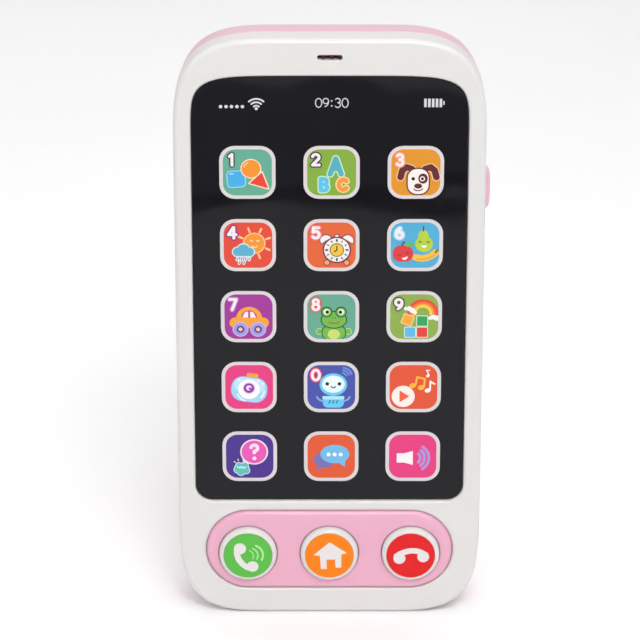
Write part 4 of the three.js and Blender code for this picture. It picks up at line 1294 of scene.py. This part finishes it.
def status_line():
    pale = (214, 211, 212)
    art = Print("status_line_print", 0.0, 135.5, FILM_FACE, "root")
    for k in range(5):
        art.shape(circle(-23.4 + 1.3 * (k - 2), -0.95, 0.42, 16), pale)
    for radius in (0.9, 1.75, 2.6):
        art.lines([sweep(-17.5, -1.6, radius, 48, 132, 12)], 0.4, pale)
    art.shape(circle(-17.5, -1.45, 0.38, 16), pale)
    for key, u in (("0", -2.7), ("9", -1.0), ("3", 1.9), ("0", 3.6)):
        glyph(art, key, u + 0.04, 0.0, 2.75, 0.22, pale)
    for v in (-0.75, 0.5):
        art.shape(circle(0.45, v, 0.2, 12), pale)
    for k in range(5):
        art.shape(soft_box(22.75 + 0.92 * k, 0.0, 0.6, 2.1, 0.08), pale)
    art.shape(soft_box(27.15, 0.0, 0.3, 0.9, 0.05), pale)
    art.done()


def button_art():
    call, home, end = [Print(f"{name}_symbol_print", x, BUTTON_Z, DISC_FACE, f"{name}_key")
                       for name, x in zip(KEYS, BUTTON_X)]
    handle = [(-2.7, 2.1), (-2.75, 0.6), (-2.31, -1.0), (-1.4, -2.25), (-0.35, -3.1), (1.0, -3.55)]
    call.merged([circle(-1.97, 2.0, 1.52), circle(1.15, -2.92, 1.45)], [handle], 1.5, WHITE_INK)
    for u, v, radius, width, rgb in ((-0.25, 0.0, 1.64, 0.4, (150, 214, 132)),
                                     (0.4, 0.15, 2.1, 0.44, (160, 222, 142)),
                                     (1.0, 0.25, 2.78, 0.54, (172, 228, 154))):
        call.lines([sweep(u, v, radius, -28, 68, 14)], width, rgb)
    call.done()
    house = [(0.1, 3.65), (-3.7, 0.3), (-2.25, 0.15), (-2.0, -3.5), (-0.75, -3.5), (-0.8, -0.9),
             (1.55, -0.85), (1.7, -3.15), (2.85, -3.1), (2.85, 0.5), (4.15, 0.8)]
    home.merged([house], [house + house[:1]], 0.25, WHITE_INK)
    home.done()
    handle = [(-3.5, 0.0), (-2.7, 0.55), (-1.3, 1.15), (0.05, 1.45), (1.4, 1.4), (2.6, 1.0),
              (3.7, 0.3)]
    end.merged([circle(-2.81, -0.7, 1.5), circle(3.14, -0.26, 1.48)], [handle], 1.5, WHITE_INK)
    end.done()


# ------------------------------------------------------------------ batteries and springs

TURNED_CELL = 2  # the middle cell and its spring lie the other way up


def batteries():
    jacket = SLOT_LOOKS["cell_jacket"]
    band = metal("cell_silver_band", (206, 206, 208), (0.2, 0.35))
    for k in (1, 2, 3):
        low, high = box_mm(f"battery_{k}")
        radius = (high[0] - low[0]) / 2 + 0.1
        x, y = (low[0] + high[0]) / 2, (low[1] + high[1]) / 2
        length = high[2] - low[2]
        up = k != TURNED_CELL
        profile = [(0.0, 0.0), (radius - 1.2, 0.0), (radius - 0.5, 0.12), (radius, 0.6),
                   (radius, length * 0.3), (radius, length - 1.6), (radius - 0.5, length - 1.05),
                   (2.2, length - 1.0), (1.9, length - 0.85), (1.9, length - 0.15),
                   (1.7, length), (0.0, length)]
        bm = bmesh.new()
        faces = turned(bm, 0, 0, profile, 48)
        label_end = length * 0.3 + 12
        for face in faces:
            middle = face.calc_center_median().y / MM
            face.material_index = 0 if 0.6 < middle < label_end else 1
        for v in bm.verts:
            px, along, pz = v.co
            v.co = (x * MM + px, y * MM + pz, (low[2] * MM + along) if up else (high[2] * MM - along))
        finish_mesh(bm, f"aaa_cell_{k}", [jacket, band], "root", [f"battery_{k}"])


def battery_springs():
    turns, per_turn = 4, 20
    wide, narrow, wire, axis_y = 4.0, 2.4, 0.25, 2.4
    for k in (1, 2, 3):
        low, high = box_mm(f"battery_spring_{k}")
        x = (low[0] + high[0]) / 2
        up = k != TURNED_CELL
        curve = bpy.data.curves.new(f"coil_{k}", "CURVE")
        curve.dimensions = "3D"
        curve.bevel_depth = wire * MM
        curve.bevel_resolution = 3
        curve.use_fill_caps = True
        path = curve.splines.new("POLY")
        count = turns * per_turn
        path.points.add(count)
        for i in range(count + 1):
            share = i / count
            angle = 2 * math.pi * turns * share
            coil = wide - (wide - narrow) * share
            along = 0.3 + (high[2] - low[2] - 0.6) * share
            z = low[2] + along if up else high[2] - along
            place = (x + coil * math.cos(angle), axis_y + coil * math.sin(angle), z)
            path.points[i].co = (*[c * MM for c in place], 1.0)
        curve.materials.append(STEEL)
        obj = bpy.data.objects.new(f"coil_spring_{k}", curve)
        bpy.context.scene.collection.objects.link(obj)
        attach(obj, "root")
        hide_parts(f"battery_spring_{k}")


# ------------------------------------------------------------------ the rest of the CAD nodes

def dress_cad_nodes():
    """Gives every CAD node the procedural look of its material slot."""
    slots = {part["node"]: part["material_slot"] for part in frame["record"]["subparts"]}
    for node, obj in frame["nodes"].items():
        obj.data.materials.clear()
        obj.data.materials.append(SLOT_LOOKS[slots[node]])


# ------------------------------------------------------------------ room, light and camera

def floor():
    bm = bmesh.new()
    bmesh.ops.create_grid(bm, x_segments=8, y_segments=8, size=3.0)
    obj = add_mesh(bm, "pale_floor")
    look = Look("pale_floor_paint")
    look.colour(look.spread(look.noise(6)), (0.93, 0.93, 0.93, 1), (0.96, 0.96, 0.96, 1))
    look.set({"Roughness": 0.9})
    obj.data.materials.append(look.mat)


CARD_WIDTH = 0.11


def card(name, rgb, front, back, height=0.0005):
    """A board lying on the floor in front of the view, for the screen to mirror."""
    bm = bmesh.new()
    bmesh.ops.create_cube(bm, size=1.0)
    for v in bm.verts:
        v.co.x *= CARD_WIDTH
        v.co.y = back if v.co.y > 0 else front
        v.co.z = height if v.co.z > 0 else 0.0
    obj = add_mesh(bm, name)
    obj.data.materials.append(plastic(name, rgb, rough=(0.8, 0.95), coat=0.0))


def area_light(name, place, aim, size, power):
    data = bpy.data.lights.new(name, "AREA")
    data.shape = "RECTANGLE"
    data.size, data.size_y = size
    data.energy = power
    obj = bpy.data.objects.new(name, data)
    obj.location = place
    obj.rotation_euler = (Vector(aim) - Vector(place)).to_track_quat("-Z", "Y").to_euler()
    bpy.context.scene.collection.objects.link(obj)
    return data


def studio():
    world = bpy.data.worlds.new("soft_white_room")
    world.use_nodes = True
    world.node_tree.nodes["Background"].inputs["Color"].default_value = (1.0, 1.0, 1.0, 1.0)
    world.node_tree.nodes["Background"].inputs["Strength"].default_value = 0.65
    bpy.context.scene.world = world
    middle = (0.0, 0.0, HEIGHT / 2 * MM)
    area_light("key_light", (0.35, -0.72, 1.05), middle, (0.9, 0.7), 3.6)
    area_light("fill_light", (-0.5, -0.8, 0.6), middle, (0.8, 0.8), 0.8)
    area_light("top_light", (0.0, 0.25, 1.2), middle, (1.2, 0.8), 2.8)
    head = area_light("head_light", (0.1, -0.7, 0.8), (0.0, 0.0, 0.165), (0.4, 0.3), 0.23)
    head.spread = math.radians(40)


def camera():
    data = bpy.data.cameras.new("photo_camera")
    data.sensor_width = 36.0
    data.lens = 198.0
    data.clip_start = 0.05
    obj = bpy.data.objects.new("photo_camera", data)
    target = Vector((-2.33 * MM, FRONT * MM, 79.9 * MM))
    rise = math.radians(22.5)
    distance = 0.858
    obj.location = target + distance * Vector((0.0, -math.cos(rise), math.sin(rise)))
    obj.rotation_euler = (target - obj.location).to_track_quat("-Z", "Y").to_euler()
    bpy.context.scene.collection.objects.link(obj)
    bpy.context.scene.camera = obj


bpy.context.scene.view_settings.view_transform = "Standard"
camera()
floor()
card("grey_card", (150, 150, 150), -0.43, -0.312)
card("black_flag", (30, 30, 30), -0.312, -0.290, 0.002)
studio()
dress_cad_nodes()
front_bezel()
rear_cover()
side_key()
battery_door()
film_sheet()
keypad_frame()
contact_mat()
for key_name, key_x in zip(KEYS, BUTTON_X):
    button(key_name, key_x)
button_art()
printed_icons()
status_line()
for number, (well_x, well_z) in enumerate(SCREW_WELLS, 1):
    screw_piece(f"cross_screw_{number}", f"case_screw_{number}", "root", well_x, well_z, *CASE_SCREW)
screw_piece("cross_screw_door", "door_screw", "screw", 0.0, DOOR_SCREW_Z, *DOOR_SCREW)
batteries()
battery_springs()
